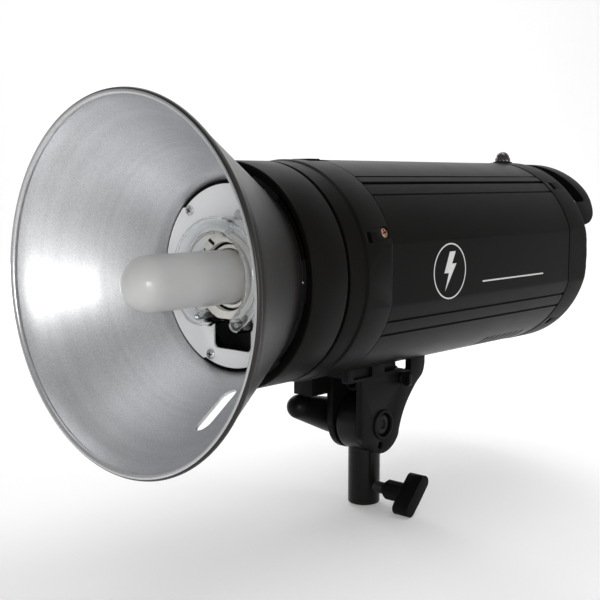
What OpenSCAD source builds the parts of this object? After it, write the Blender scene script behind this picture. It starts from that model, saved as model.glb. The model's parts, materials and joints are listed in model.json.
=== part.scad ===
// Monolight studio strobe on its tilting stand bracket.
// The lamp fires towards -Y, +Z is up, and the origin is the centre of the stand socket's mouth.
// The lamp axis runs along Y, axis_h above the origin.

/* [Reflector] */
// Outside diameter of the rolled rim
rim_d = 210; // [204:1:216]
// Diameter of the opening at the neck
neck_d = 114; // [114:0.5:115]
// Distance from the rim's front to the neck
dish_len = 81; // [76:1:84]
// Thickness of the spun sheet
dish_wall = 1.5; // [1.2:0.1:1.8]
// Length of the umbrella slot along the wall
slot_len = 36; // [30:1:38]
// Width of the umbrella slot
slot_w = 12.2; // [10:0.2:13]

/* [Head] */
// Outside diameter of the front rings
ring_d = 136; // [135:0.5:137]
// Outside diameter of the extruded body
body_d = 138.4; // [138:0.2:139]
// Distance between the flats on the body's sides
flats_w = 133; // [132:0.5:134]
// Length of the extruded body
body_len = 217; // [214:1:220]
// Thickness of the body's wall
body_wall = 3; // [2.6:0.2:3.2]
// Depth of the rear cover
cover_len = 28; // [28:0.5:30]

/* [Lamp] */
// Diameter of the modelling lamp's glass
lamp_d = 32; // [30:0.5:32]
// Diameter of the flash tube's ring, at the middle of its tube
ring_tube_d = 62; // [61:0.5:62]
// Diameter of the flash tube's glass
tube_d = 9.4; // [8.6:0.2:9.4]

/* [Bracket] */
// Height of the lamp axis above the stand socket's mouth
axis_h = 166; // [166:0.5:167]
// Height of the tilt pivot above the stand socket's mouth
pivot_h = 57; // [56.5:0.5:57.5]
// Outside diameter of the socket tube
socket_d = 22; // [21.6:0.1:22]
// Diameter of the socket's bore
socket_bore_d = 16.2; // [16.1:0.05:16.4]
// Depth of the socket's bore
socket_depth = 34; // [30:1:35]
// Diameter of the knuckle
knuckle_d = 40; // [38:0.5:40.5]
// Diameter of the umbrella tube's bore
umbrella_bore_d = 8.4; // [8.2:0.1:8.6]

/* [Hidden] */
$fn = 96;

// Stations along the lamp axis, from the rim to the handle.
rim_y = -209.6;
neck_y = rim_y + dish_len;
ring_front_y = -129.9;
ring_back_y = -99.9;
groove_w = 2.6;
step_y = -83.4;
body_front_y = -57;
body_back_y = body_front_y + body_len;
cover_back_y = body_back_y + cover_len;
panel_y = cover_back_y - 12;
panel_t = 2.4;

// Dish wall: a straight cone from the neck to the rolled bead.
bead_r = 2;
bead_ring_r = rim_d / 2 - bead_r;
bead_y = rim_y + bead_r;
cone_run = neck_y - bead_y;
cone_rise = bead_ring_r - neck_d / 2;
cone_angle = atan2(cone_rise, cone_run);
slot_angle = -73.2;
slot_mid_y = neck_y - 30.7;
slot_mid_r = neck_d / 2 + (neck_y - slot_mid_y) * cone_rise / cone_run;

// Bayonet: three long lugs under three short tabs, 60 degrees of turn apart.
lug_centres = [30, 150, 270];
lug_span = 82;
tab_span = 36;
lug_r = 62.4;
bayonet_r = 60;
bayonet_inner_r = neck_d / 2 - 0.4;
bayonet_y = neck_y + 0.9;
bayonet_t = 2.5;
pin_r = 1.2;
pin_ring_r = 61.5;
pin_back_y = -63;
collar_y = -121.3;
bulkhead_y = -96.4;

// Face plate, seen through the neck.
plate_y = -128.4;
plate_t = 1.5;
plate_r = 54.6;
plate_lobe_r = 56.1;
screw_ring_r = 50.5;
screw_angles = [12, 131, 252];
web_y = -124.6;
web_t = 3;

// Flash tube: a ring open at the bottom, with two legs through the plate.
tube_ring_r = ring_tube_d / 2;
tube_r = tube_d / 2;
tube_y = -139;
tube_start = -62;
tube_end = 236;
leg_end_y = -117;

// Body section.
ring_r = ring_d / 2;
body_r = body_d / 2;
flat_x = flats_w / 2;
groove_marks = [[57.7, 0.9, 0.7], [52, 2.4, 1.6], [43.3, 1.1, 0.8], [-24.5, 1.5, 1], [-33, 1.5, 1]];
cover_round = 5;
cover_r = 69.6;

housing_screw_angles = [21.7, 158.3, 270];

// Handle arch behind the cover.
arch_in_r = 61.5;
arch_out_r = 68.5;
arch_y = 203;
arch_t = 14;
foot_from = 19;
foot_to = 35;
handle_angles = [27, 153];
screw_seat_y = 199;
sensor_y = 172;

// Depth of the main board's underside below the lamp axis.
board_drop = 46;
board_top = axis_h - board_drop + 1.6;
fan_z = board_top + 30;

// Bracket.
cheek_in = 11.3;
cheek_t = 5;
cheek_out = cheek_in + cheek_t;
knuckle_half = 9.9;
umbrella_z = 86.5;
umbrella_r = 6;
screw_z = 12.6;
thumb_y = 20;
body_gap = 0.02;

// Rear controls: [x, z from the lamp axis].
dial_r = 11;
rocker_pivot_y = panel_y - 4.2;
power_dial_at = [-25, 17];
lamp_dial_at = [25, 17];
rocker_w = 13;
rocker_h = 19;
power_rocker_at = [-34, -20];
slave_rocker_at = [34, -20];
button_at = [0, 2];
ready_at = [0, 18];
jack_at = [0, -14];
inlet_at = [0, -37];
fuse_at = [31, -40.5];

// Puts children that are drawn along local Z onto the lamp axis, local Z towards +Y.
module on_axis(y = 0) {
    translate([0, y, axis_h]) rotate([-90, 0, 0]) children();
}

// Turns children, drawn at +X, round the lamp axis by an angle from +X towards +Z.
module at_angle(a) {
    translate([0, 0, axis_h]) rotate([0, -a, 0]) children();
}

// A ring between two radii and two stations on the lamp axis.
module hoop(r_out, r_in, y0, y1) {
    on_axis(y0) difference() {
        cylinder(r = r_out, h = y1 - y0);
        translate([0, 0, -1]) cylinder(r = r_in, h = y1 - y0 + 2);
    }
}

// A solid disc on the lamp axis.
module disc(r, y0, y1) {
    on_axis(y0) cylinder(r = r, h = y1 - y0);
}

// Part of a ring, centred on an angle from +X towards +Z.
module arc_block(r_out, r_in, y0, y1, centre, span) {
    on_axis(y0) rotate([0, 0, -centre - span / 2]) rotate_extrude(angle = span)
        translate([r_in, 0]) square([r_out - r_in, y1 - y0]);
}

// A cylinder along Y at a point given from the lamp axis.
module post(x, z, r, y0, y1) {
    translate([x, y0, axis_h + z]) rotate([-90, 0, 0]) cylinder(r = r, h = y1 - y0, $fn = 48);
}

// A cylinder along X.
module cross(y, z, r, x0, x1) {
    translate([x0, y, z]) rotate([0, 90, 0]) cylinder(r = r, h = x1 - x0, $fn = 64);
}

// A box from its two opposite corners.
module block(lo, hi) {
    translate(lo) cube(hi - lo);
}

// A countersunk screw along Y with its head at y0 and a cross recess.
module y_screw(x, z, r, head_r, y0, length, side = 1) {
    translate([x, y0, axis_h + z]) rotate([-90 * side, 0, 0]) difference() {
        union() {
            cylinder(r = head_r, h = 1.6, $fn = 32);
            cylinder(r = r, h = length, $fn = 32);
        }
        for (a = [0, 90])
            rotate([0, 0, a]) translate([-head_r * 0.65, -0.4, -1]) cube([head_r * 1.3, 0.8, 1.9]);
    }
}

// A radial screw in the head's side, with its head's outer face at radius r_face.
module radial_screw(angle, y, r_face, head_r, length) {
    at_angle(angle) translate([r_face, y, 0]) rotate([0, -90, 0]) difference() {
        union() {
            cylinder(r = head_r, h = 1.8, $fn = 32);
            cylinder(r = head_r * 0.5, h = length, $fn = 32);
        }
        for (a = [0, 90])
            rotate([0, 0, a]) translate([-head_r * 0.65, -0.4, -1]) cube([head_r * 1.3, 0.8, 2]);
    }
}

// ---- Reflector ----

module reflector_dish() {
    wall_n = [cos(cone_angle), sin(cone_angle)] * dish_wall;
    neck_r = neck_d / 2;
    color("silver") difference() {
        union() {
            on_axis() rotate_extrude() polygon([
                [neck_r, neck_y], [neck_r, neck_y + 0.9], [neck_r + wall_n[0], neck_y + 0.9],
                [bead_ring_r + wall_n[0], bead_y + wall_n[1]], [bead_ring_r, bead_y]
            ]);
            on_axis() rotate_extrude() translate([bead_ring_r, bead_y]) circle(r = bead_r, $fn = 32);
        }
        at_angle(slot_angle) translate([slot_mid_r, slot_mid_y, 0]) rotate([0, 0, cone_angle])
            slot_cutter();
    }
}

// Straight slot with round ends, cut along local X, its length along local Y.
module slot_cutter() {
    reach = (slot_len - slot_w) / 2;
    for (s = [-1, 1])
        translate([-6, s * reach, 0]) rotate([0, 90, 0]) cylinder(d = slot_w, h = 12, $fn = 48);
    translate([-6, -reach, -slot_w / 2]) cube([12, 2 * reach, slot_w]);
}

module bayonet_ring() {
    color("dimgray") difference() {
        hoop(lug_r, bayonet_inner_r, bayonet_y, bayonet_y + bayonet_t);
        for (a = lug_centres)
            arc_block(lug_r + 2, bayonet_r, bayonet_y - 1, bayonet_y + bayonet_t + 1, a + 60, 120 - lug_span);
        for (a = [0 : 60 : 300])
            at_angle(a) rivet_hole();
    }
}

module rivet_hole() {
    translate([58.3, bayonet_y - 1, 0]) rotate([-90, 0, 0]) cylinder(r = 0.9, h = bayonet_t + 2, $fn = 24);
}

// Rivets that hold the ring to the dish's turned neck.
module bayonet_rivets() {
    color("gainsboro") for (a = [0 : 60 : 300])
        at_angle(a) translate([58.3, bayonet_y, 0]) rotate([-90, 0, 0]) union() {
            cylinder(r = 0.9, h = bayonet_t, $fn = 24);
            translate([0, 0, bayonet_t]) cylinder(r = 1.4, h = 0.3, $fn = 24);
        }
}

// ---- Front of the head ----

module mount_ring() {
    lip_r = lug_r + 0.6;
    bore_r = 65;
    color("#1c1c1c") difference() {
        union() {
            hoop(ring_r, bore_r, ring_front_y, ring_back_y);
            hoop(bore_r + 0.5, lip_r, ring_front_y, ring_front_y + 1.6);
            for (a = lug_centres)
                arc_block(bore_r + 0.5, 60.6, ring_front_y, ring_front_y + 1.4, a, tab_span);
            hoop(bore_r + 0.5, 46, web_y, web_y + web_t);
            for (a = screw_angles)
                at_angle(a) translate([screw_ring_r, plate_y + plate_t, 0]) rotate([-90, 0, 0])
                    cylinder(r = 3.4, h = web_y - plate_y - plate_t + 1, $fn = 32);
        }
        for (a = screw_angles)
            at_angle(a) translate([screw_ring_r, plate_y, 0]) rotate([-90, 0, 0])
                cylinder(r = 1.6, h = 12, $fn = 32);
        post(0, pin_ring_r, pin_r + 0.08, web_y - 1, web_y + web_t + 1);
        for (a = [75, 195, 315])
            at_angle(a) translate([52, web_y - 1, 0]) rotate([-90, 0, 0]) cylinder(r = 1.5, h = 6, $fn = 32);
    }
}

// Flat that meets the body's side flat at the back and runs out towards the front.
module side_facet() {
    run = 30;
    lean = atan2(cover_r - flat_x, run);
    for (m = [0, 1])
        mirror([m, 0, 0]) translate([flat_x, body_front_y, 0]) rotate([0, 0, lean])
            translate([0, -60, 60]) cube([20, 62, 200]);
}

module front_housing() {
    neck_r = 65;
    neck_y0 = ring_back_y - 6;
    ring2_y = ring_back_y + groove_w;
    color("#1e1e1e") difference() {
        union() {
            disc(neck_r, neck_y0, ring2_y + 1);
            disc(ring_r, ring2_y, step_y);
            on_axis(step_y) cylinder(r1 = ring_r, r2 = body_r, h = 1.6);
            disc(body_r, step_y + 1.6, body_front_y);
        }
        disc(61.6, neck_y0 - 1, step_y + 2);
        post(0, pin_ring_r, 2.7, neck_y0 - 1, step_y + 3);
        disc(body_r - body_wall, step_y + 2, body_front_y + 1);
        side_facet();
        for (a = housing_screw_angles) {
            at_angle(a) translate([0, -61.5, 0]) rotate([0, 90, 0]) cylinder(r = 1.9, h = 80, $fn = 32);
            at_angle(a) translate([67.2, -61.5, 0]) rotate([0, 90, 0]) cylinder(r = 3.6, h = 9, $fn = 32);
        }
        for (a = [19.7, 160.3])
            at_angle(a) translate([67.2, -79.5, -3.4]) cube([9, 4.2, 6.8]);
        block([-5.2, -68, axis_h + 55], [5.2, -58.2, axis_h + 75]);
        slider_recess();
    }
}

// Shallow seat on top for the release slider, running from the housing into the body.
module slider_recess() {
    block([-12, -71, axis_h + body_r - 1.4], [12, -51, axis_h + 80]);
}

module face_plate() {
    color("gainsboro") difference() {
        union() {
            disc(plate_r, plate_y, plate_y + plate_t);
            arc_block(plate_lobe_r, 40, plate_y, plate_y + plate_t, 190, 112);
            arc_block(plate_lobe_r, 40, plate_y, plate_y + plate_t, 22, 56);
        }
        plate_openings(-1);
        for (a = screw_angles)
            at_angle(a) translate([screw_ring_r, plate_y - 1, 0]) rotate([-90, 0, 0])
                cylinder(r = 1.7, h = 5, $fn = 32);
        disc(20.4, plate_y - 1, plate_y + 5);
    }
}

// Openings that the plate and the ceramic base share.
module plate_openings(grow = 0) {
    y0 = plate_y - 6;
    y1 = plate_y + 6;
    block([-13.4, y0, axis_h - 43.6], [18.2, y1, axis_h - 25]);
    for (a = [tube_start, tube_end])
        at_angle(a) translate([tube_ring_r, y0, 0]) rotate([-90, 0, 0])
            cylinder(r = tube_r + 0.6, h = y1 - y0, $fn = 48);
    at_angle(73) translate([tube_ring_r + 7.6, y0, 0]) rotate([-90, 0, 0])
        cylinder(r = 1.6, h = y1 - y0, $fn = 32);
}

module face_screws() {
    color("silver") for (a = screw_angles)
        at_angle(a) translate([0, 0, -axis_h])
            y_screw(screw_ring_r, 0, 1.5, 3.2, plate_y - 1.6, 8);
}

// White ceramic ring between the lamp and the flash tube.
module ceramic_base() {
    color("ivory") difference() {
        hoop(26.2, 20.4, plate_y - 2.2, plate_y);
        plate_openings();
        at_angle(121) rotate([0, 0, 0]) translate([23.4, plate_y - 3, 0]) rotate([-90, 0, 0])
            cylinder(r = 1.1, h = 4, $fn = 24);
        at_angle(140) translate([23.6, plate_y - 3, 0]) rotate([-90, 0, 0])
            cylinder(r = 0.7, h = 4, $fn = 24);
    }
}

// Sheet wall behind the mount ring, which carries the lamp holder and the tube sockets.
module bulkhead() {
    color("silver") difference() {
        disc(61.6, bulkhead_y, bulkhead_y + 2);
        disc(14, -98, -90);
        for (a = [tube_start, tube_end])
            at_angle(a) translate([tube_ring_r, -98, 0]) rotate([-90, 0, 0]) cylinder(r = 3, h = 6, $fn = 32);
        post(0, pin_ring_r, 1.6, -98, -90);
        for (a = [30 : 60 : 330])
            at_angle(a) translate([50, -98, 0]) rotate([-90, 0, 0]) cylinder(r = 4.5, h = 6, $fn = 32);
    }
}

// ---- Modelling lamp ----

module lamp_holder() {
    front_y = plate_y + 0.8;
    color("ivory") on_axis() difference() {
        union() {
            rotate_extrude() polygon([
                [0, -96.4], [19, -96.4], [19, front_y + 1.5], [17.8, front_y], [0, front_y]
            ]);
        }
        translate([0, 0, front_y - 1]) cylinder(r = 16.7, h = 9);
        translate([0, 0, -122]) cylinder(r = 13.9, h = 22);
        translate([0, 0, -101]) cylinder(r = 3, h = 10);
    }
}

// Screw cap of the lamp: rounded thread turns and a centre contact.
module lamp_cap() {
    turns = 4;
    pitch = 3.6;
    color("goldenrod") on_axis() union() {
        translate([0, 0, -119.5]) cylinder(r = 12.6, h = 16.5);
        for (i = [0 : turns - 1])
            translate([0, 0, -117 + i * pitch]) rotate_extrude() translate([12.4, 0]) circle(r = 1.2, $fn = 24);
        translate([0, 0, -103]) cylinder(r1 = 9, r2 = 4, h = 1.6);
        translate([0, 0, -101.4]) cylinder(r = 2.4, h = 1.2);
    }
}

module lamp_glass() {
    lamp_r = lamp_d / 2;
    glass_t = 1.2;
    tip_y = -188.6;
    foot_y = -119.5;
    color([0.95, 0.95, 0.92, 0.8]) on_axis() difference() {
        union() {
            translate([0, 0, tip_y]) sphere(r = lamp_r);
            translate([0, 0, tip_y]) cylinder(r = lamp_r, h = foot_y - 4 - tip_y);
            translate([0, 0, foot_y - 4]) cylinder(r1 = lamp_r, r2 = 13, h = 4);
        }
        translate([0, 0, tip_y]) sphere(r = lamp_r - glass_t);
        translate([0, 0, tip_y]) cylinder(r = lamp_r - glass_t, h = foot_y - 4 - tip_y);
        translate([0, 0, foot_y - 4.5]) cylinder(r = 11.6, h = 6);
    }
}

// ---- Flash tube ----

module flash_tube() {
    color([0.9, 0.95, 1, 0.35]) union() {
        on_axis(tube_y) rotate([0, 0, -tube_end]) rotate_extrude(angle = tube_end - tube_start)
            translate([tube_ring_r, 0]) circle(r = tube_r, $fn = 48);
        for (a = [tube_start, tube_end])
            at_angle(a) translate([tube_ring_r, tube_y, 0]) union() {
                sphere(r = tube_r + 0.2, $fn = 48);
                rotate([-90, 0, 0]) cylinder(r = tube_r, h = leg_end_y - tube_y, $fn = 48);
            }
    }
}

// Metal end caps of the flash tube, with their pins.
module tube_ferrules() {
    color("silver") for (a = [tube_start, tube_end])
        at_angle(a) translate([tube_ring_r, leg_end_y, 0]) rotate([-90, 0, 0]) union() {
            cylinder(r = 4.6, h = 6, $fn = 40);
            cylinder(r = 1.4, h = 13, $fn = 32);
        }
}

module tube_sockets() {
    color("saddlebrown") for (a = [tube_start, tube_end])
        at_angle(a) translate([tube_ring_r, leg_end_y + 6, 0]) rotate([-90, 0, 0]) difference() {
            cylinder(r = 6.4, h = -96.4 - leg_end_y - 6, $fn = 40);
            translate([0, 0, -1]) cylinder(r = 1.5, h = 9, $fn = 32);
        }
}

// Spring clip that holds the top of the ring to the plate.
module tube_clip() {
    clip_r = tube_r + 0.15;
    color("silver") at_angle(73) difference() {
        union() {
            translate([tube_ring_r, tube_y, -2]) cylinder(r = clip_r + 0.8, h = 4, $fn = 48);
            block([tube_ring_r + clip_r, tube_y, -2], [tube_ring_r + clip_r + 0.8, plate_y, 2]);
            block([tube_ring_r + clip_r, plate_y - 0.8, -2], [tube_ring_r + clip_r + 6, plate_y, 2]);
            translate([tube_ring_r + 7.6, plate_y - 3.2, 0]) rotate([-90, 0, 0])
                cylinder(r = 1.5, h = 7, $fn = 32);
            translate([tube_ring_r + 7.6, plate_y - 3.2, 0]) rotate([-90, 0, 0])
                cylinder(r = 2.9, h = 2.5, $fn = 32);
        }
        translate([tube_ring_r, tube_y, -4]) cylinder(r = clip_r, h = 8, $fn = 48);
        block([tube_ring_r - 9, tube_y - 12, -4], [tube_ring_r + 9, tube_y - 3, 4]);
    }
}

// Thin ignition wire laid along the inside of the flash tube's ring.
module trigger_wire() {
    wire_r = 0.4;
    wire_ring_r = tube_ring_r - tube_r - wire_r - 0.15;
    color("peru") union() {
        on_axis(tube_y) rotate([0, 0, -205]) rotate_extrude(angle = 118)
            translate([wire_ring_r, 0]) circle(r = wire_r, $fn = 16);
        at_angle(205) translate([wire_ring_r, tube_y, 0]) union() {
            sphere(r = wire_r, $fn = 16);
            rotate([-90, 0, 0]) cylinder(r = wire_r, h = plate_y - 2.2 - tube_y, $fn = 16);
        }
    }
}

// ---- Reflector lock ----

module release_slider() {
    top_z = axis_h + body_r;
    color("#252525") difference() {
        union() {
            block([-7, -66, top_z - 1], [7, -55, top_z + 0.5]);
            block([-4.6, -66, axis_h + 58.5], [4.6, -62, top_z]);
        }
        for (i = [0 : 5])
            block([-8, -64.9 + i * 1.6, top_z - 0.1], [8, -64.1 + i * 1.6, top_z + 3]);
        post(0, pin_ring_r, pin_r, -80, pin_back_y);
    }
}

// Lock pin, with the collar that the return spring pushes on.
module lock_pin() {
    color("silver") union() {
        post(0, pin_ring_r, pin_r, bayonet_y + 0.2, pin_back_y);
        post(0, pin_ring_r, 2.2, collar_y, collar_y + 1.2);
    }
}

// Return spring round the pin, from the pin's collar to the bulkhead: a stack of joined turns.
module slider_spring() {
    turns = 8;
    wire_r = 0.35;
    first_y = collar_y + 1.2 + wire_r;
    pitch = (bulkhead_y - wire_r - first_y) / turns;
    color("lightgray") for (i = [0 : turns])
        on_axis(first_y + i * pitch) translate([0, -pin_ring_r, 0])
            rotate_extrude($fn = 24) translate([1.75, 0]) circle(r = wire_r, $fn = 16);
}

// ---- Body ----

module body_outline(r, x) {
    intersection() {
        circle(r = r);
        square([2 * x, 4 * r], center = true);
    }
}

module body_tube() {
    color("#141414") difference() {
        on_axis(body_front_y) difference() {
            linear_extrude(height = body_len) difference() {
                body_outline(body_r, flat_x);
                difference() {
                    body_outline(body_r - body_wall, flat_x - body_wall);
                    for (s = [-1, 1])
                        translate([s * 48 - 4, board_drop]) square([8, 2]);
                }
                for (m = [0, 1], g = groove_marks)
                    mirror([m, 0]) rotate([0, 0, -g[0]]) translate([groove_face(g[0]) - g[2], -g[1] / 2])
                        square([10, g[1]]);
            }
        }
        slider_recess();
        for (y = [-26, 4])
            translate([-25, y, 90]) cylinder(r = 2.1, h = 20, $fn = 32);
        for (i = [0 : 6], s = [-1, 1])
            block([s * 26 - 14, 92 + i * 8, axis_h - 75], [s * 26 + 14, 95.2 + i * 8, axis_h - 40]);
    }
}

// Distance from the axis to the outline at an angle: the arc, or the flat where it is nearer.
function groove_face(a) = min(body_r, flat_x / cos(a));

module housing_screws() {
    color("peru") for (a = housing_screw_angles)
        radial_screw(a, -61.5, 69, 3.3, 7);
}

module capacitors() {
    can_r = 17.5;
    color("#20303c") for (x = [-1, 1], z = [-1, 1])
        translate([x * 18.2, -38, axis_h + z * 18.2]) rotate([-90, 0, 0]) union() {
            cylinder(r = can_r, h = 88, $fn = 64);
            translate([0, 0, -2.5]) cylinder(r = 3.5, h = 2.5, $fn = 32);
        }
}

module capacitor_clamp() {
    color("silver") difference() {
        on_axis(9) linear_extrude(height = 12) body_outline(body_r - body_wall, flat_x - body_wall);
        for (s = [-1, 1])
            block([s * 49 - 6, 8, axis_h - board_drop - 2.2], [s * 49 + 6, 22, axis_h - board_drop + 0.2]);
        for (x = [-1, 1], z = [-1, 1])
            post(x * 18.2, z * 18.2, 17.5, 8, 22);
        for (a = [0 : 90 : 270])
            at_angle(a) translate([49, 0, 0]) rotate([-90, 0, 0]) cylinder(r = 7, h = 30, $fn = 48);
    }
}

module main_board() {
    color("seagreen") union() {
        block([-47.4, 44, board_top - 1.6], [47.4, 146, board_top]);
        for (s = [-1, 1])
            block([s * 38 - 2, 60, board_top], [s * 38 + 2, 118, board_top + 16]);
        for (s = [-1, 0, 1])
            translate([s * 20, 110, board_top]) cylinder(r = 6, h = 14, $fn = 32);
    }
}

// Transformer standing on the main board: its iron has two windows for the coil.
module transformer_core() {
    color("dimgray") difference() {
        block([-28, 60, board_top], [28, 90, board_top + 48]);
        for (s = [-1, 1])
            block([s * 14 - 5, 59, board_top + 10], [s * 14 + 5, 91, board_top + 38]);
    }
}

module transformer_coil() {
    color("chocolate") difference() {
        block([-18.8, 53, board_top + 10.2], [18.8, 97, board_top + 37.8]);
        block([-9, 60, board_top], [9, 90, board_top + 48]);
    }
}

module fan_frame() {
    mid_z = fan_z - axis_h;
    color("#202020") difference() {
        union() {
            block([-30, 125.4, board_top], [30, 139, board_top + 60]);
            block([-30, 124, board_top], [30, 125.5, board_top + 60]);
        }
        post(0, mid_z, 28, 125.5, 140);
        difference() {
            post(0, mid_z, 27, 120, 126);
            post(0, mid_z, 11, 120, 126);
            block([-30, 120, fan_z - 1.5], [30, 126, fan_z + 1.5]);
            block([-1.5, 120, fan_z - 30], [1.5, 126, fan_z + 30]);
        }
        post(0, mid_z, 2.05, 120, 130);
        for (s = [-1, 1], t = [-1, 1])
            post(s * 25.4, mid_z + t * 25.4, 2.1, 120, 150);
    }
}

module fan_rotor() {
    blades = 7;
    color("#303030") translate([0, 0, fan_z - axis_h]) union() {
        disc(10.5, 127, 137.5);
        disc(2, 124.2, 128);
        for (i = [0 : blades - 1])
            at_angle(i * 360 / blades) translate([9, 132.2, 0]) rotate([38, 0, 0]) translate([0, -5.5, -0.6])
                cube([16.6, 11, 1.2]);
    }
}

// ---- Rear ----

module cover_shell() {
    round_r = cover_r - cover_round;
    intersection() {
        union() {
            disc(cover_r, body_back_y, cover_back_y - cover_round);
            disc(round_r, body_back_y, cover_back_y);
            on_axis(cover_back_y - cover_round) rotate_extrude() translate([round_r, 0])
                circle(r = cover_round, $fn = 48);
        }
        translate([-flat_x - 0.3, 0, 0]) cube([2 * flat_x + 0.6, 300, 400]);
    }
}

module handle_foot(a) {
    arc_block(arch_out_r, arch_in_r, cover_back_y - 7, arch_y + 1, a, foot_to - foot_from);
}

module rear_cover() {
    color("#1c1c1c") difference() {
        cover_shell();
        disc(58, body_back_y - 1, cover_back_y + 1);
        intersection() {
            disc(66, body_back_y - 1, panel_y);
            translate([-63, 0, 0]) cube([126, 300, 400]);
        }
        for (a = handle_angles)
            handle_foot(a);
        for (a = [48, 132, 228, 312]) {
            at_angle(a) translate([66.4, body_back_y + 5.2, -3.6]) cube([9, 5, 7.2]);
            at_angle(a) translate([50, body_back_y + 7.7, 0]) rotate([0, 90, 0]) cylinder(r = 1.3, h = 20, $fn = 32);
        }
        translate([0, sensor_y, axis_h + 64]) cylinder(r = 7.5, h = 20);
        for (a = handle_angles)
            at_angle(a) translate([65, panel_y + 1.5, 0]) rotate([-90, 0, 0]) cylinder(r = 1.7, h = 20, $fn = 32);
    }
}

module cover_screws() {
    color("dimgray") for (a = [48, 132, 228, 312])
        radial_screw(a, body_back_y + 7.7, 68.2, 2.2, 7);
}

module rear_panel() {
    back = panel_y - panel_t;
    color("#2a2a2a") difference() {
        union() {
            intersection() {
                disc(63, back, panel_y);
                translate([-61, 0, 0]) cube([122, 300, 400]);
            }
            for (at = [power_rocker_at, slave_rocker_at])
                opening_block(at, rocker_w + 3.6, rocker_h + 3.6, panel_y - 13, back + 0.5);
        }
        for (at = [power_dial_at, lamp_dial_at])
            post(at[0], at[1], 3.5, panel_y - 5, panel_y + 5);
        for (at = [power_rocker_at, slave_rocker_at]) {
            opening_block(at, rocker_w + 0.4, rocker_h + 0.4, panel_y - 11, panel_y + 5);
            cross(rocker_pivot_y, axis_h + at[1], 1.25, at[0] - 7.9, at[0] + 7.9);
        }
        post(button_at[0], button_at[1], 4.3, panel_y - 5, panel_y + 5);
        post(ready_at[0], ready_at[1], 2.5, panel_y - 5, panel_y + 5);
        post(jack_at[0], jack_at[1], 4.5, panel_y - 5, panel_y + 5);
        opening_block(inlet_at, 27, 19.6, panel_y - 5, panel_y + 5);
        post(fuse_at[0], fuse_at[1], 5, panel_y - 5, panel_y + 5);
        for (i = [0 : 5])
            opening_block([0, 31 + i * 3.6], 34 - i * 3, 1.6, panel_y - 5, panel_y + 5);
    }
}

module control_board() {
    y0 = panel_y - 16;
    color("seagreen") difference() {
        union() {
            block([-45, y0, axis_h - 7], [45, y0 + 1.6, axis_h + 26]);
            for (at = [power_dial_at, lamp_dial_at])
                opening_block(at, 16, 16, y0 + 1.6, panel_y - panel_t);
            block([-4, y0 + 1.6, axis_h - 2], [4, panel_y - 7, axis_h + 6]);
        }
        for (at = [power_dial_at, lamp_dial_at])
            post(at[0], at[1], 3.05, panel_y - 9, panel_y);
    }
}

// What rounds off one lower rear corner of the handle.
module handle_corner() {
    at_angle(33) translate([55, 0, 0]) rotate([0, 90, 0]) linear_extrude(20)
        polygon([[15.9, 188], [14, 196], [9.1, 204.5], [4, 208.7], [-1.1, 211.7], [-5.7, 214], [-12.6, 216],
            [-25, 217.5], [-25, 225], [30, 225], [30, 188]]);
}

module carry_handle() {
    color("#1a1a1a") difference() {
        arc_block(arch_out_r, arch_in_r, cover_back_y - 7, arch_y + arch_t, 90, 180 - 2 * foot_from);
        arc_block(arch_out_r + 3, arch_in_r - 3, cover_back_y - 10, arch_y, 90, 180 - 2 * foot_to);
        handle_corner();
        mirror([1, 0, 0]) handle_corner();
        for (a = handle_angles)
            at_angle(a) translate([65, 170, 0]) rotate([-90, 0, 0]) union() {
                cylinder(r = 1.8, h = 60, $fn = 32);
                translate([0, 0, screw_seat_y - 170]) cylinder(r = 3.2, h = 30, $fn = 32);
            }
    }
}

module handle_screws() {
    color("dimgray") for (a = handle_angles)
        at_angle(a) translate([65, screw_seat_y, 0]) rotate([90, 0, 0]) difference() {
            union() {
                translate([0, 0, -2]) cylinder(r = 3, h = 2, $fn = 32);
                translate([0, 0, -0.5]) cylinder(r = 1.7, h = screw_seat_y - panel_y - 1, $fn = 32);
            }
            for (t = [0, 90])
                rotate([0, 0, t]) translate([-1.9, -0.4, -3]) cube([3.8, 0.8, 1.9]);
        }
}

module sensor_collar() {
    color("#101010") translate([0, sensor_y, axis_h + 64]) difference() {
        cylinder(r = 7.5, h = 6.4, $fn = 64);
        translate([0, 0, -1]) cylinder(r = 4.1, h = 20, $fn = 48);
    }
}

// Ribbed dome over the slave sensor.
module sensor_dome() {
    ribs = 18;
    color("#151515") translate([0, sensor_y, axis_h + 64]) union() {
        cylinder(r = 4.1, h = 7, $fn = 48);
        translate([0, 0, 6.4]) cylinder(r = 5.4, h = 2.4, $fn = 48);
        translate([0, 0, 8.8]) intersection() {
            sphere(r = 5.4, $fn = 48);
            translate([-6, -6, 0]) cube([12, 12, 6]);
        }
        for (i = [0 : ribs - 1])
            rotate([0, 0, i * 360 / ribs]) translate([5.1, -0.4, 6.4]) cube([0.8, 0.8, 2.6]);
    }
}

// Round knob with a pointer groove and finger flutes.
module dial(at) {
    flutes = 12;
    translate([at[0], panel_y + 0.6, axis_h + at[1]]) rotate([-90, 0, 0]) difference() {
        union() {
            cylinder(r = dial_r, h = 10, $fn = 64);
            cylinder(r = dial_r + 1.4, h = 2, $fn = 64);
            translate([0, 0, 10]) cylinder(r1 = dial_r, r2 = dial_r - 1, h = 1);
            translate([0, 0, -6]) cylinder(r = 3, h = 6.5, $fn = 48);
        }
        for (i = [0 : flutes - 1])
            rotate([0, 0, i * 360 / flutes + 15]) translate([dial_r + 1.1, 0, 3])
                cylinder(r = 1.9, h = 10, $fn = 24);
        translate([-0.6, -dial_r, 10.4]) cube([1.2, dial_r - 2, 2]);
    }
}

module power_dial() {
    color("#202020") dial(power_dial_at);
}

module lamp_dial() {
    color("#202020") dial(lamp_dial_at);
}

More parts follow.
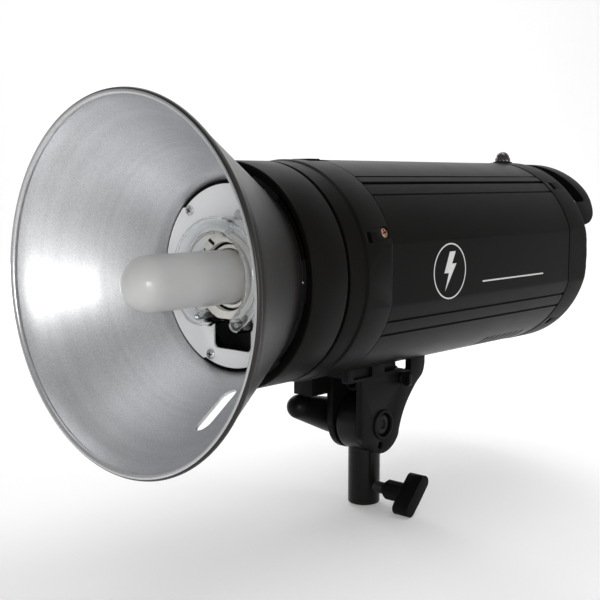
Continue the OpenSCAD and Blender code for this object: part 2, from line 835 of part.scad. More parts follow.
// Rocker key: two leaning faces on a cross pin.
module rocker(at) {
    w = rocker_w - 0.6;
    lean = 9;
    rest_turn = 7;
    translate([at[0], rocker_pivot_y, axis_h + at[1]]) rotate([rest_turn, 0, 0]) union() {
        translate([-7.6, 0, 0]) rotate([0, 90, 0]) cylinder(r = 1.2, h = 15.2, $fn = 32);
        for (s = [-1, 1])
            rotate([s * lean, 0, 0]) translate([-w / 2, 0.6, s > 0 ? -8.6 : 0]) cube([w, 5, 8.6]);
        translate([-w / 2, -1.6, -2.2]) cube([w, 4, 4.4]);
    }
}

module power_rocker() {
    color("firebrick") rocker(power_rocker_at);
}

module slave_rocker() {
    color("#303030") rocker(slave_rocker_at);
}

module test_button() {
    color("firebrick") translate([button_at[0], panel_y - 5, axis_h + button_at[1]]) rotate([-90, 0, 0]) union() {
        cylinder(r = 4, h = 9, $fn = 48);
        translate([0, 0, 1.1]) cylinder(r = 4.9, h = 1.2, $fn = 48);
    }
}

module ready_lamp() {
    color("limegreen") translate([ready_at[0], panel_y - 6, axis_h + ready_at[1]]) rotate([-90, 0, 0]) union() {
        cylinder(r = 2.5, h = 7, $fn = 32);
        translate([0, 0, 7]) sphere(r = 2.5, $fn = 32);
        cylinder(r = 3, h = 6 - panel_t, $fn = 32);
    }
}

module sync_jack() {
    color("silver") translate([jack_at[0], panel_y - 18, axis_h + jack_at[1]]) rotate([-90, 0, 0]) difference() {
        union() {
            cylinder(r = 4.5, h = 19.4, $fn = 48);
            cylinder(r = 6.4, h = 18 - panel_t, $fn = 48);
            translate([0, 0, 18]) cylinder(r = 6, h = 1.4, $fn = 48);
        }
        translate([0, 0, 3]) cylinder(r = 3.25, h = 20, $fn = 48);
    }
}

module mains_inlet() {
    color("#101010") difference() {
        union() {
            opening_block(inlet_at, 27, 19.6, panel_y - 20, panel_y + 0.2);
            opening_block(inlet_at, 31, 23.6, panel_y, panel_y + 2);
        }
        opening_block(inlet_at, 24, 16.6, panel_y - 16, panel_y + 9);
        for (x = [-7, 0, 7])
            pin_block(x, panel_y - 24, panel_y);
    }
}

// A box along Y round a point of the rear panel.
module opening_block(at, w, h, y0, y1) {
    block([at[0] - w / 2, y0, axis_h + at[1] - h / 2], [at[0] + w / 2, y1, axis_h + at[1] + h / 2]);
}

// One flat contact of the inlet; the middle one sits higher.
module pin_block(x, y0, y1) {
    opening_block([inlet_at[0] + x, inlet_at[1] + (x == 0 ? 2 : -2)], 2, 4, y0, y1);
}

module inlet_pins() {
    color("silver") for (x = [-7, 0, 7])
        pin_block(x, panel_y - 24, panel_y - 2);
}

module fuse_cap() {
    color("#181818") translate([fuse_at[0], panel_y - 16, axis_h + fuse_at[1]]) rotate([-90, 0, 0]) difference() {
        union() {
            cylinder(r = 5, h = 18, $fn = 48);
            translate([0, 0, 16]) cylinder(r = 6.2, h = 5, $fn = 48);
        }
        translate([-3.6, -0.6, 19.4]) cube([7.2, 1.2, 3]);
    }
}

// ---- Bracket ----

// Space that the round body takes up above the bracket.
module body_space() {
    on_axis(-130) cylinder(r = body_r + body_gap, h = 330, $fn = 96);
}

// Plate drawn in (y, z) and given its thickness along X.
module side_plate(x0, t) {
    translate([x0, 0, 0]) rotate([90, 0, 90]) linear_extrude(height = t) children();
}

module saddle() {
    color("#161616") difference() {
        union() {
            block([-33, -36, 92.7], [cheek_in, -22.6, 108]);
            block([-33, -36, 77], [-cheek_out - 0.2, 14, 108]);
            block([-cheek_in, -22.7, 92.7], [cheek_in, 20, 100]);
        }
        body_space();
        for (y = [-26, 4])
            translate([-25, y, 70]) cylinder(r = 2.2, h = 40, $fn = 32);
        for (y = [-26, 4])
            translate([-25, y, 70]) cylinder(r = 4.2, h = 12, $fn = 32);
    }
}

// Outline of a cheek above its round lobe, widening upwards to the body.
module cheek_outline(front) {
    polygon([
        [front, pivot_h - 2], [front, 106], [47.3, 106], [47.3, 92], [45.4, 86.6],
        [37, 80.4], [27.4, 69.4], [21, 59.5], [16.8, pivot_h - 9], [0, pivot_h - 6]
    ]);
}

// The near cheek's extra corner below its front edge, and the ear above it.
module front_ear() {
    polygon([[-23, pivot_h], [-23, pivot_h - 7], [-16, 41.8], [-4, 37.4], [4, 50]]);
    translate([-38, 90]) square([17, 16]);
}

module near_cheek() {
    color("#1b1b1b") difference() {
        union() {
            side_plate(cheek_in, cheek_t) cheek_outline(-23);
            side_plate(cheek_in, cheek_t) front_ear();
            cross(0, pivot_h, 20, cheek_in, cheek_out);
            cross(0, pivot_h, 10, cheek_in, cheek_out + 1.2);
        }
        body_space();
        side_plate(cheek_in - 1, 10) polygon([[1, 92.5], [22, 92.5], [31.5, 90], [31.5, 120], [1, 120]]);
        block([cheek_in + 2, -32, 92], [30, -12, 120]);
        cross(0, pivot_h, 5.1, 0, 40);
        cross(0, pivot_h, 8, cheek_out - 3, 40);
        cross(-3, 43, 2.6, cheek_in + 2, 40);
        cross(thumb_y, umbrella_z, 3.05, 0, 40);
        cross(24, 75, 3.1, 0, cheek_in + 3.3);
    }
}

module far_cheek() {
    color("#1b1b1b") difference() {
        union() {
            side_plate(-cheek_out, cheek_t) cheek_outline(-20.6);
            cross(0, pivot_h, 20, -cheek_out, -cheek_in);
        }
        body_space();
        cross(0, pivot_h, 5.1, -40, 0);
        cross(24, 75, 3.1, -40, 0);
        side_plate(-cheek_out - 1, 10) polygon([[20, 92.5], [31.5, 92.5], [31.5, 120], [20, 120]]);
    }
}

// Spacer and screw that tie the cheeks together behind the knuckle, below the umbrella shaft's way out.
module cheek_tie() {
    color("dimgray") union() {
        cross(24, 75, 3, -cheek_out, cheek_in + 3);
        cross(24, 75, 4.6, -cheek_in, cheek_in);
        cross(24, 75, 5.2, -cheek_out - 2, -cheek_out);
    }
}

module saddle_screws() {
    color("dimgray") for (y = [-26, 4])
        translate([-25, y, 82]) difference() {
            union() {
                translate([0, 0, -3]) cylinder(r = 4, h = 3, $fn = 32);
                translate([0, 0, -0.5]) cylinder(r = 2.1, h = 24.5, $fn = 32);
            }
            translate([0, 0, -4]) cylinder(r = 2, h = 3, $fn = 6);
        }
}

module umbrella_tube() {
    color("#222222") difference() {
        translate([0, -14, umbrella_z]) rotate([-90, 0, 0]) difference() {
            cylinder(r = umbrella_r, h = 46, $fn = 64);
            translate([0, 0, -1]) cylinder(d = umbrella_bore_d, h = 48, $fn = 64);
        }
        cross(thumb_y, umbrella_z, 3.05, 2, 9);
    }
    color("#222222") for (y = [-12, 10])
        block([-4, y, umbrella_z + 5.1], [4, y + 8, 92.7]);
}

module friction_washers() {
    color("wheat") for (x = [-cheek_in, cheek_in - 1])
        difference() {
            cross(0, pivot_h, 10.4, x, x + 1);
            cross(0, pivot_h, 5.2, x - 1, x + 3);
        }
}

// Tilt bolt: head in the near cheek, thread end inside the lever.
module pivot_bolt() {
    color("#2c2c2c") difference() {
        union() {
            cross(0, pivot_h, 5, -36.6, cheek_out - 3);
            cross(0, pivot_h, 7.2, cheek_out - 3, cheek_out + 0.4);
        }
        translate([cheek_out - 1.6, 0, pivot_h]) rotate([0, 90, 0]) cylinder(r = 4, h = 5, $fn = 6);
    }
}

// Teardrop lever that clamps the tilt.
module tilt_lever() {
    tip = [-33.6, 10.9];
    color("#1f1f1f") difference() {
        union() {
            cross(0, pivot_h, 12.4, -30, -16.9);
            hull() {
                translate([-30.5, 0, pivot_h]) sphere(r = 12.4, $fn = 32);
                translate([-30.5, tip[0], pivot_h + tip[1]]) sphere(r = 8.4, $fn = 32);
            }
        }
        cross(0, pivot_h, 8, -37, -10);
    }
}

// Brass nut inside the lever.
module lever_nut() {
    color("goldenrod") difference() {
        cross(0, pivot_h, 8, -37, -16.9);
        cross(0, pivot_h, 5.06, -50, -10);
    }
}

// Thumb screw that holds the umbrella's shaft.
module umbrella_screw() {
    color("#1d1d1d") translate([0, thumb_y, umbrella_z]) union() {
        rotate([0, 90, 0]) translate([0, 0, 4.6]) cylinder(r = 3, h = 13.4, $fn = 32);
        rotate([0, 90, 0]) translate([0, 0, 16.6]) cylinder(r = 4, h = 2.4, $fn = 32);
        translate([18.5, -1.6, -4]) cube([3.4, 3.2, 8]);
        for (s = [-1, 1])
            translate([22, 1.6, s * 2.1]) rotate([90, 0, 0]) cylinder(r = 2.7, h = 3.2, $fn = 32);
    }
}

// Stand socket and tilting knuckle in one casting.
module knuckle() {
    color("#1a1a1a") difference() {
        union() {
            cross(0, pivot_h, knuckle_d / 2, -knuckle_half, knuckle_half);
            translate([0, 0, 1.2]) cylinder(d = socket_d, h = pivot_h - 12, $fn = 96);
            cylinder(d1 = socket_d - 2.4, d2 = socket_d, h = 1.2, $fn = 96);
        }
        translate([0, 0, -1]) cylinder(d = socket_bore_d, h = socket_depth + 1, $fn = 96);
        cross(0, pivot_h, 5.06, -20, 20);
        cross(0, screw_z, 4.06, 0, 20);
    }
}

// Wing screw that clamps the socket onto the stand.
module stand_screw() {
    bar_tilt = 43.5;
    color("#151515") translate([0, 0, screw_z]) union() {
        rotate([0, 90, 0]) translate([0, 0, 8.6]) cylinder(r = 4, h = 12, $fn = 48);
        rotate([0, 90, 0]) translate([0, 0, 20]) cylinder(r = 7, h = 15, $fn = 48);
        rotate([-bar_tilt, 0, 0]) union() {
            translate([34, -4.5, -11]) cube([12, 9, 22]);
            for (s = [-1, 1])
                translate([34, 0, s * 11]) rotate([0, 90, 0]) cylinder(r = 4.5, h = 12, $fn = 48);
        }
    }
}

reflector_dish();
bayonet_ring();
bayonet_rivets();
mount_ring();
front_housing();
face_plate();
face_screws();
ceramic_base();
bulkhead();
lamp_holder();
lamp_cap();
lamp_glass();
flash_tube();
tube_ferrules();
tube_sockets();
tube_clip();
trigger_wire();
release_slider();
lock_pin();
slider_spring();
body_tube();
housing_screws();
capacitors();
capacitor_clamp();
main_board();
transformer_core();
transformer_coil();
fan_frame();
fan_rotor();
rear_cover();
cover_screws();
rear_panel();
control_board();
carry_handle();
handle_screws();
sensor_collar();
sensor_dome();
power_dial();
lamp_dial();
power_rocker();
slave_rocker();
test_button();
ready_lamp();
sync_jack();
mains_inlet();
inlet_pins();
fuse_cap();
saddle();
near_cheek();
far_cheek();
cheek_tie();
saddle_screws();
umbrella_tube();
friction_washers();
pivot_bolt();
tilt_lever();
lever_nut();
umbrella_screw();
knuckle();
stand_screw();
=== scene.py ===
import bpy, bmesh, json
from math import atan2, cos, pi, radians, sin, sqrt, tan
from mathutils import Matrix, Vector

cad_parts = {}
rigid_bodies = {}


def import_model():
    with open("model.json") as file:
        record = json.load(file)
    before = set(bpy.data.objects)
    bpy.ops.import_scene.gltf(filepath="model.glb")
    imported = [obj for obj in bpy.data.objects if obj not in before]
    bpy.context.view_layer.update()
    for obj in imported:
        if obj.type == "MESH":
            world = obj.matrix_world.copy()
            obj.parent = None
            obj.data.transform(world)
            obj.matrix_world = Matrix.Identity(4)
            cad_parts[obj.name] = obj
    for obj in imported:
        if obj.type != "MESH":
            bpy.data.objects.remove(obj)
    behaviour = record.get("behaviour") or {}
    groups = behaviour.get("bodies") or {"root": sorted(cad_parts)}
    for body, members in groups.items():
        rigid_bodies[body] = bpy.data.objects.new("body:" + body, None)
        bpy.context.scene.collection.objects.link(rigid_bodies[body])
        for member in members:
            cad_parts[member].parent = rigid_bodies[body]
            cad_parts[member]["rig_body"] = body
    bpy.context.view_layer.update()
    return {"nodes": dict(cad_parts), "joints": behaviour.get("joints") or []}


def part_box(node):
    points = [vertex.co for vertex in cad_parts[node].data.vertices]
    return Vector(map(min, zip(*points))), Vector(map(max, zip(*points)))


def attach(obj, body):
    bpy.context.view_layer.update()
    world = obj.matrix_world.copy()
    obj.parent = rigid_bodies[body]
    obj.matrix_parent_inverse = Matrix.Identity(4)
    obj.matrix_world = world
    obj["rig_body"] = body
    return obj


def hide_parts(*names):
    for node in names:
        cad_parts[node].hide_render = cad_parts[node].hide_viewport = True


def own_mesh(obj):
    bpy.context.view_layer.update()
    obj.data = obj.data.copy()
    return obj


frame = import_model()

NODES = frame["nodes"]

# Lengths are in mm and angles in degrees. Angles round the lamp axis run from +X towards +Z.
MM = 0.001


def mm(metres):
    """A length of the frame in mm, without its rounding noise."""
    return round(metres / MM, 2)


def joint(name):
    return next(j for j in frame["joints"] if j["name"] == name)


def pivot(name):
    """A point on the axis of a joint, in mm."""
    return [mm(v) for v in joint(name)["pos_m"]]


# Read from the frame
BODY_LOW, BODY_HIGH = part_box("body_tube")
AXIS_Z = pivot("reflector_turn")[2]            # height of the lamp axis
PIVOT_Z = pivot("head_tilt")[2]
BODY_R = mm(BODY_HIGH.z - AXIS_Z * MM)
FLAT_X = mm(BODY_HIGH.x)                       # the body's side flats
BODY_FRONT, BODY_REAR = mm(BODY_LOW.y), mm(BODY_HIGH.y)
RING_R = mm(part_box("mount_ring")[1].x)
PLATE_Y = mm(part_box("face_plate")[0].y)        # front of the face plate
PANEL_Y = mm(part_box("rear_panel")[1].y)        # outer face of the recessed rear panel
HANDLE_REAR = mm(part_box("carry_handle")[1].y)

# Chosen here, as in the CAD
BODY_WALL_R = 66.2     # inside of the body
HANDLE_R = 65          # middle of the handle's band
TUBE_R = 31.0          # ring of the flash tube
TUBE_LEGS = (-62, 236)
HOUSING_SCREWS = (21.7, 158.3, 270)
COVER_SCREWS = (48, 132, 228, 312)
HANDLE_SCREWS = (27, 153)
FACE_SCREWS = (12, 131, 252)

# ---------------------------------------------------------------- materials

class Shader:
    """A node material with a Principled BSDF and a few shorthands for its texture nodes."""

    def __init__(self, name, **sockets):
        self.mat = bpy.data.materials.new(name)
        self.mat.use_nodes = True
        self.nt = self.mat.node_tree
        self.bsdf = self.nt.nodes["Principled BSDF"]
        for key, value in sockets.items():
            self.bsdf.inputs[key.replace("_", " ")].default_value = value
        self.coords = self.nt.nodes.new("ShaderNodeTexCoord").outputs["Object"]

    def node(self, kind, inputs=None, **props):
        n = self.nt.nodes.new("ShaderNode" + kind)
        for key, value in props.items():
            setattr(n, key, value)
        for key, value in (inputs or {}).items():
            if isinstance(value, bpy.types.NodeSocket):
                self.nt.links.new(value, n.inputs[key])
            else:
                n.inputs[key].default_value = value
        return n

    def link(self, out, socket):
        self.nt.links.new(out, self.bsdf.inputs[socket])

    def stretched(self, scale):
        return self.node("Mapping", {"Vector": self.coords, "Scale": scale}).outputs[0]

    def noise(self, scale, detail=4.0, vector=None):
        n = self.node("TexNoise", {"Vector": vector or self.coords, "Scale": scale,
                                   "Detail": detail, "Roughness": 0.55})
        return n.outputs["Fac"]

    def maths(self, op, a, b=0.0):
        n = self.node("Math", operation=op)
        for i, v in enumerate((a, b)):
            if isinstance(v, bpy.types.NodeSocket):
                self.nt.links.new(v, n.inputs[i])
            else:
                n.inputs[i].default_value = v
        return n.outputs[0]

    def span(self, fac, low, high, start=0.3, stop=0.7):
        n = self.node("MapRange", {"Value": fac, "From Min": start, "From Max": stop,
                                   "To Min": low, "To Max": high})
        return n.outputs[0]

    def tint(self, fac, low, high, start=0.3, stop=0.7):
        ramp = self.node("ValToRGB", {"Fac": fac})
        ends = ramp.color_ramp.elements
        ends[0].position, ends[1].position = start, stop
        ends[0].color, ends[1].color = (*low, 1), (*high, 1)
        return ramp.outputs["Color"]

    def blend(self, fac, a, b):
        n = self.node("Mix", data_type="RGBA")
        for i, v in ((0, fac), (6, a), (7, b)):
            if isinstance(v, bpy.types.NodeSocket):
                self.nt.links.new(v, n.inputs[i])
            else:
                n.inputs[i].default_value = v if i == 0 else (*v, 1)
        return n.outputs[2]

    def bump(self, height, strength, depth=0.0001, after=None):
        inputs = {"Height": height, "Strength": strength, "Distance": depth}
        if after is not None:
            inputs["Normal"] = after
        return self.node("Bump", inputs).outputs[0]

    def radius(self):
        """Distance from the lamp axis, in metres."""
        x, y, z = self.node("SeparateXYZ", {"Vector": self.coords}).outputs
        up = self.maths("SUBTRACT", z, AXIS_Z * MM)
        return self.maths("SQRT", self.maths("ADD", self.maths("MULTIPLY", x, x),
                                             self.maths("MULTIPLY", up, up)))

    def edges(self):
        """White on convex edges, broken up by noise."""
        point = self.node("NewGeometry").outputs["Pointiness"]
        worn = self.span(point, 0.0, 1.0, 0.57, 0.66)
        return self.maths("MULTIPLY", worn, self.span(self.noise(140, 6), 0.0, 1.0, 0.42, 0.62))


def shade(base, k):
    return tuple(min(1.0, c * k) for c in base)


def plain(name, base, rough, metal=0.0, vary=0.12, scale=40, grain=0.25, grain_scale=1800,
          rough_vary=0.06, stretch=None, worn=None, **sockets):
    """A solid finish: mottled colour, uneven gloss, fine surface grain and, if asked, worn edges."""
    s = Shader(name, Metallic=metal, **sockets)
    cloud = s.noise(scale, 5)
    colour = s.tint(cloud, shade(base, 1 - vary), shade(base, 1 + vary), 0.25, 0.75)
    if worn:
        colour = s.blend(s.edges(), colour, worn)
    s.link(colour, "Base Color")
    fine = s.noise(grain_scale, 3, s.stretched(stretch) if stretch else None)
    smear = s.maths("ADD", s.maths("MULTIPLY", cloud, 0.6), s.maths("MULTIPLY", fine, 0.4))
    s.link(s.span(smear, rough - rough_vary, rough + rough_vary, 0.2, 0.8), "Roughness")
    s.link(s.bump(fine, grain, 0.00008), "Normal")
    return s.mat


def turned_metal(name, base, rough, speckle=0.5, **sockets):
    """Metal spun on a lathe: fine rings round the lamp axis and a sandy speckle."""
    s = Shader(name, Metallic=1.0, **sockets)
    r = s.radius()
    ring_at = s.node("CombineXYZ", {"X": r}).outputs[0]
    rings = s.noise(2600, 4, ring_at)
    broad = s.noise(2600 / 14, 3, ring_at)
    sand = s.noise(2300, 2)
    cloud = s.noise(14, 4)
    dots = s.noise(1250, 2)
    tone = s.maths("ADD", s.maths("MULTIPLY", cloud, 0.35), s.maths("MULTIPLY", broad, 0.25))
    tone = s.maths("ADD", tone, s.maths("MULTIPLY", dots, 0.4))
    s.link(s.tint(tone, shade(base, 0.8), shade(base, 1.1), 0.4, 0.6), "Base Color")
    mix = s.maths("ADD", s.maths("MULTIPLY", rings, 0.5), s.maths("MULTIPLY", sand, 0.5))
    s.link(s.span(mix, rough - 0.05, rough + 0.06), "Roughness")
    s.link(s.bump(sand, speckle, 0.00006, s.bump(rings, 0.25, 0.00004)), "Normal")
    return s.mat


BLACK = (0.0036, 0.0033, 0.0028)
M = {
    "inner": turned_metal("satin_reflector_inside", (0.68, 0.685, 0.70), 0.37),
    "rim": turned_metal("rolled_bright_rim", (0.62, 0.62, 0.63), 0.3, speckle=0.6),
    "outer": plain("reflector_outside_paint", (0.022, 0.0205, 0.019), 0.38, metal=0.3, vary=0.08, grain=0.12,
                   grain_scale=1500, Specular_IOR_Level=0.3, Coat_Weight=0.12, Coat_Roughness=0.25),
    "plastic": plain("black_moulded_plastic", BLACK, 0.40, grain=0.3, grain_scale=2600,
                     Specular_IOR_Level=0.06),
    "body": plain("black_anodised_extrusion", BLACK, 0.34, grain=0.16,
                  grain_scale=1400, stretch=(1, 0.02, 1), rough_vary=0.05, Specular_IOR_Level=0.065),
    "cover": plain("black_matt_plastic", (0.0040, 0.0037, 0.0032), 0.46, grain=0.4, grain_scale=2200,
                   Specular_IOR_Level=0.065),
    "cast": plain("black_powder_coat", (0.0042, 0.0039, 0.0035), 0.42, grain=0.45, grain_scale=1500,
                  worn=(0.03, 0.029, 0.028), Specular_IOR_Level=0.075),
    "lever": plain("black_satin_moulding", (0.0040, 0.0037, 0.0034), 0.36, grain=0.2, grain_scale=2400,
                   Specular_IOR_Level=0.1),
    "knuckle": plain("black_satin_casting", (0.0046, 0.0043, 0.0039), 0.30, grain=0.2, grain_scale=1500,
                     Specular_IOR_Level=0.16),
    "rubber": plain("dull_black_wing", (0.0038, 0.0035, 0.0032), 0.52, grain=0.5, grain_scale=1300,
                    Specular_IOR_Level=0.08),
    "steel": plain("bright_plated_steel", (0.62, 0.62, 0.63), 0.24, metal=1.0, vary=0.08, grain=0.1,
                   scale=160),
    "dark_steel": plain("black_oxide_steel", (0.030, 0.029, 0.030), 0.40, metal=0.7, grain=0.15),
    "copper": plain("copper_plated_screw", (0.50, 0.27, 0.17), 0.34, metal=1.0, vary=0.2, scale=400,
                    grain=0.15),
    "tinned": plain("tinned_wire", (0.56, 0.50, 0.46), 0.3, metal=1.0, vary=0.1, scale=300, grain=0.1),
    "plate": plain("satin_white_plate", (0.93, 0.935, 0.94), 0.34, metal=0.1, vary=0.03, grain=0.06, scale=25,
                   Coat_Weight=0.15, Coat_Roughness=0.2),
    "ceramic": plain("glazed_ceramic", (0.82, 0.80, 0.74), 0.28, vary=0.04, grain=0.1, grain_scale=900,
                     Coat_Weight=0.3, Coat_Roughness=0.12),
    "porcelain": plain("white_porcelain", (0.86, 0.85, 0.81), 0.22, vary=0.03, grain=0.05, Coat_Weight=0.4,
                       Coat_Roughness=0.08),
    "brass": plain("brass", (0.62, 0.44, 0.17), 0.3, metal=1.0, vary=0.12, scale=200, grain=0.1),
    "sheet": plain("plain_sheet_metal", (0.55, 0.55, 0.57), 0.36, metal=1.0, grain=0.15,
                   stretch=(1, 0.05, 1)),
    "board": plain("green_circuit_board", (0.012, 0.085, 0.03), 0.35, vary=0.35, scale=260, grain=0.3),
    "iron": plain("laminated_iron", (0.10, 0.10, 0.105), 0.45, metal=0.8, grain=0.6, stretch=(1, 6, 0.05)),
    "winding": plain("enamelled_copper_winding", (0.30, 0.10, 0.035), 0.3, metal=0.6, grain=0.9,
                     grain_scale=900, stretch=(1, 4, 1)),
    "can": plain("capacitor_sleeve", (0.02, 0.035, 0.075), 0.3, vary=0.1, grain=0.08),
    "bakelite": plain("brown_bakelite", (0.055, 0.022, 0.012), 0.32, vary=0.3, scale=300, grain=0.1),
    "fibre": plain("pressed_fibre", (0.20, 0.14, 0.08), 0.7, vary=0.2, scale=500, grain=0.6),
    "panel": plain("dark_grey_panel", (0.028, 0.028, 0.03), 0.5, grain=0.4, grain_scale=1700),
    "knob": plain("black_knob", (0.016, 0.016, 0.017), 0.36, grain=0.2, grain_scale=2200),
    "red": plain("red_key", (0.42, 0.018, 0.012), 0.28, vary=0.06, grain=0.08, Coat_Weight=0.3),
    "print": plain("pale_printing", (0.62, 0.62, 0.61), 0.55, vary=0.05, scale=300, grain=0.3),
    "lens": plain("smoked_lens", (0.02, 0.012, 0.012), 0.16, vary=0.3, grain=0.05, Coat_Weight=0.5),
    "green": plain("green_lens", (0.02, 0.30, 0.06), 0.15, vary=0.1, grain=0.03, Transmission_Weight=0.4),
    # painted shade: near-black for the walls of screw recesses and blind holes, where shade falls
    "recess_shade": plain("painted_recess_shade", (0.004, 0.004, 0.004), 0.8, grain=0.1),
}


def frosted_glass():
    s = Shader("frosted_lamp_glass", IOR=1.45, Subsurface_Weight=0.55, Subsurface_Scale=0.012,
               Transmission_Weight=0.3, Coat_Weight=0.5, Coat_Roughness=0.14)
    s.bsdf.inputs["Subsurface Radius"].default_value = (1.0, 0.95, 0.85)
    y = s.node("SeparateXYZ", {"Vector": s.coords}).outputs[1]
    along = s.span(y, 0.0, 1.0, -0.140, -0.124)
    # painted shade: away from the middle band, most of all towards the dome end, the glass is painted darker
    end_shade_mask = s.span(s.maths("ABSOLUTE", s.maths("ADD", y, 0.160)), 0.0, 1.0, 0.004, 0.036)
    middle = s.tint(s.noise(45, 4), (0.84, 0.85, 0.83), (0.88, 0.89, 0.87))
    painted_shade_skin = s.blend(end_shade_mask, middle, (0.74, 0.745, 0.73))
    # towards the base the colour turns lighter and warmer
    s.link(s.blend(along, painted_shade_skin, (0.88, 0.83, 0.80)), "Base Color")
    fine = s.noise(2600, 2)
    s.link(s.span(fine, 0.34, 0.46), "Roughness")
    s.link(s.bump(fine, 0.15, 0.00005), "Normal")
    return s.mat


def clear_glass():
    s = Shader("clear_flash_tube_glass", IOR=1.46, Transmission_Weight=1.0)
    s.bsdf.inputs["Base Color"].default_value = (0.97, 0.985, 0.99, 1)
    fine = s.noise(30, 2)
    s.link(s.span(fine, 0.015, 0.05), "Roughness")
    return s.mat


M["frosted"] = frosted_glass()
M["glass"] = clear_glass()

# ---------------------------------------------------------------- mesh building

def lamp_axis(x, y, h):
    """Local x, y across and h along the lamp axis, in mm, to the frame."""
    return Vector((x, h, AXIS_Z + y)) * MM


def upright(cx, cy):
    return lambda x, y, h: Vector((cx + x, cy + y, h)) * MM


def along_x(cy, cz):
    return lambda x, y, h: Vector((h, cy + x, cz + y)) * MM


def along_y(cx, cz):
    return lambda x, y, h: Vector((cx + x, h, cz + y)) * MM


across = along_x(0, 0)


def soft(pts, n=4):
    """A closed outline of (x, y) or (x, y, radius) corners, with the radii rounded off."""
    out = []
    for i, p in enumerate(pts):
        if len(p) < 3 or not p[2]:
            out.append(tuple(p[:2]))
            continue
        c = Vector(p[:2])
        a, b = Vector(pts[i - 1][:2]) - c, Vector(pts[(i + 1) % len(pts)][:2]) - c
        half = a.angle(b) / 2
        back = min(p[2] / tan(half), a.length * 0.49, b.length * 0.49)
        mid = c + (a.normalized() + b.normalized()).normalized() * (back / cos(half))
        v0, v1 = c + a.normalized() * back - mid, c + b.normalized() * back - mid
        t0 = atan2(v0.y, v0.x)
        turn = (atan2(v1.y, v1.x) - t0 + pi) % (2 * pi) - pi
        out += [(mid.x + v0.length * cos(t0 + turn * k / n), mid.y + v0.length * sin(t0 + turn * k / n))
                for k in range(n + 1)]
    return out


def arc(cx, cy, r, a0, a1, n):
    return [(cx + r * cos(radians(a0 + (a1 - a0) * i / n)), cy + r * sin(radians(a0 + (a1 - a0) * i / n)))
            for i in range(n + 1)]


def circle(cx, cy, r, n):
    """A closed round outline of n points."""
    return arc(cx, cy, r, 0, 360 - 360 / n, n - 1)


def box(x0, y0, x1, y1, *radius):
    """The corners of a rectangle, for soft() if it has a radius."""
    return [(x0, y0, *radius), (x1, y0, *radius), (x1, y1, *radius), (x0, y1, *radius)]


def turned(pts, angle, cx=0.0, cy=0.0):
    """An outline turned about its own zero and then moved."""
    c, s = cos(radians(angle)), sin(radians(angle))
    return [(cx + x * c - y * s, cy + x * s + y * c) for x, y in pts]


def smooth_line(pts, n=6):
    """An open line through the points, rounded by a Catmull-Rom curve."""
    out = []
    full = [pts[0], *pts, pts[-1]]
    for i in range(1, len(full) - 2):
        p = [Vector(q) for q in full[i - 1:i + 3]]
        for k in range(n):
            t = k / n
            q = 0.5 * (2 * p[1] + (p[2] - p[0]) * t + (2 * p[0] - 5 * p[1] + 4 * p[2] - p[3]) * t * t
                       + (3 * p[1] - p[0] - 3 * p[2] + p[3]) * t ** 3)
            out.append(tuple(q))
    return out + [tuple(pts[-1])]


def lathe(pts, place=lamp_axis, segs=192, span=None, slots=None, bm=None, wave=None):
    """Turns a closed (radius, height) outline. slots gives each outline edge its material."""
    bm = bm or bmesh.new()
    a0, a1 = span or (0, 360)
    rings = []
    for i in range(segs + bool(span)):
        a = radians(a0 + (a1 - a0) * i / segs)
        ring = []
        for r, h in pts:
            rr = r + wave(a, r, h) if wave else r
            ring.append(bm.verts.new(place(rr * cos(a), rr * sin(a), h)))
        rings.append(ring)
    m = len(pts)
    for i in range(segs):
        p, q = rings[i], rings[(i + 1) % len(rings)]
        for j in range(m):
            f = bm.faces.new((p[j], p[(j + 1) % m], q[(j + 1) % m], q[j]))
            f.material_index = slots[j] if slots else 0
    if span:
        bm.faces.new(rings[0])
        bm.faces.new(rings[-1][::-1])
    return bm


def prism(outline, place, h0, h1, bm=None):
    """Straight solid on a closed outline."""
    bm = bm or bmesh.new()
    low = [bm.verts.new(place(x, y, h0)) for x, y in outline]
    top = [bm.verts.new(place(x, y, h1)) for x, y in outline]
    n = len(outline)
    bm.faces.new(low[::-1])
    bm.faces.new(top)
    for i in range(n):
        bm.faces.new((low[i], low[(i + 1) % n], top[(i + 1) % n], top[i]))
    return bm


def sweep(path, radius, segs=24, bm=None):
    """Round tube along a 3-D path in mm; radius is a number or one per point."""
    bm = bm or bmesh.new()
    pts = [Vector(p) for p in path]
    rad = radius if isinstance(radius, list) else [radius] * len(pts)
    side, rings = None, []
    for i, p in enumerate(pts):
        t = (pts[min(i + 1, len(pts) - 1)] - pts[max(i - 1, 0)]).normalized()
        side = (side - t * side.dot(t)).normalized() if side else t.orthogonal().normalized()
        up = t.cross(side)
        ring = []
        for k in range(segs):
            a = 2 * pi * k / segs
            ring.append(bm.verts.new((p + rad[i] * (side * cos(a) + up * sin(a))) * MM))
        rings.append(ring)
    for a, b in zip(rings, rings[1:]):
        for k in range(segs):
            bm.faces.new((a[k], b[k], b[(k + 1) % segs], a[(k + 1) % segs]))
    bm.faces.new(rings[0])
    bm.faces.new(rings[-1][::-1])
    return bm


def block(lo, hi, bm=None):
    return prism(box(lo[0], lo[1], hi[0], hi[1]), upright(0, 0), lo[2], hi[2], bm)


def raw(name, bm, mats=()):
    """A new object from a bmesh, with its materials by their names in M."""
    bmesh.ops.remove_doubles(bm, verts=bm.verts, dist=2e-6)
    bmesh.ops.recalc_face_normals(bm, faces=bm.faces)
    me = bpy.data.meshes.new(name)
    bm.to_mesh(me)
    bm.free()
    ob = bpy.data.objects.new(name, me)
    bpy.context.scene.collection.objects.link(ob)
    for m in mats:
        me.materials.append(M[m])
    return ob


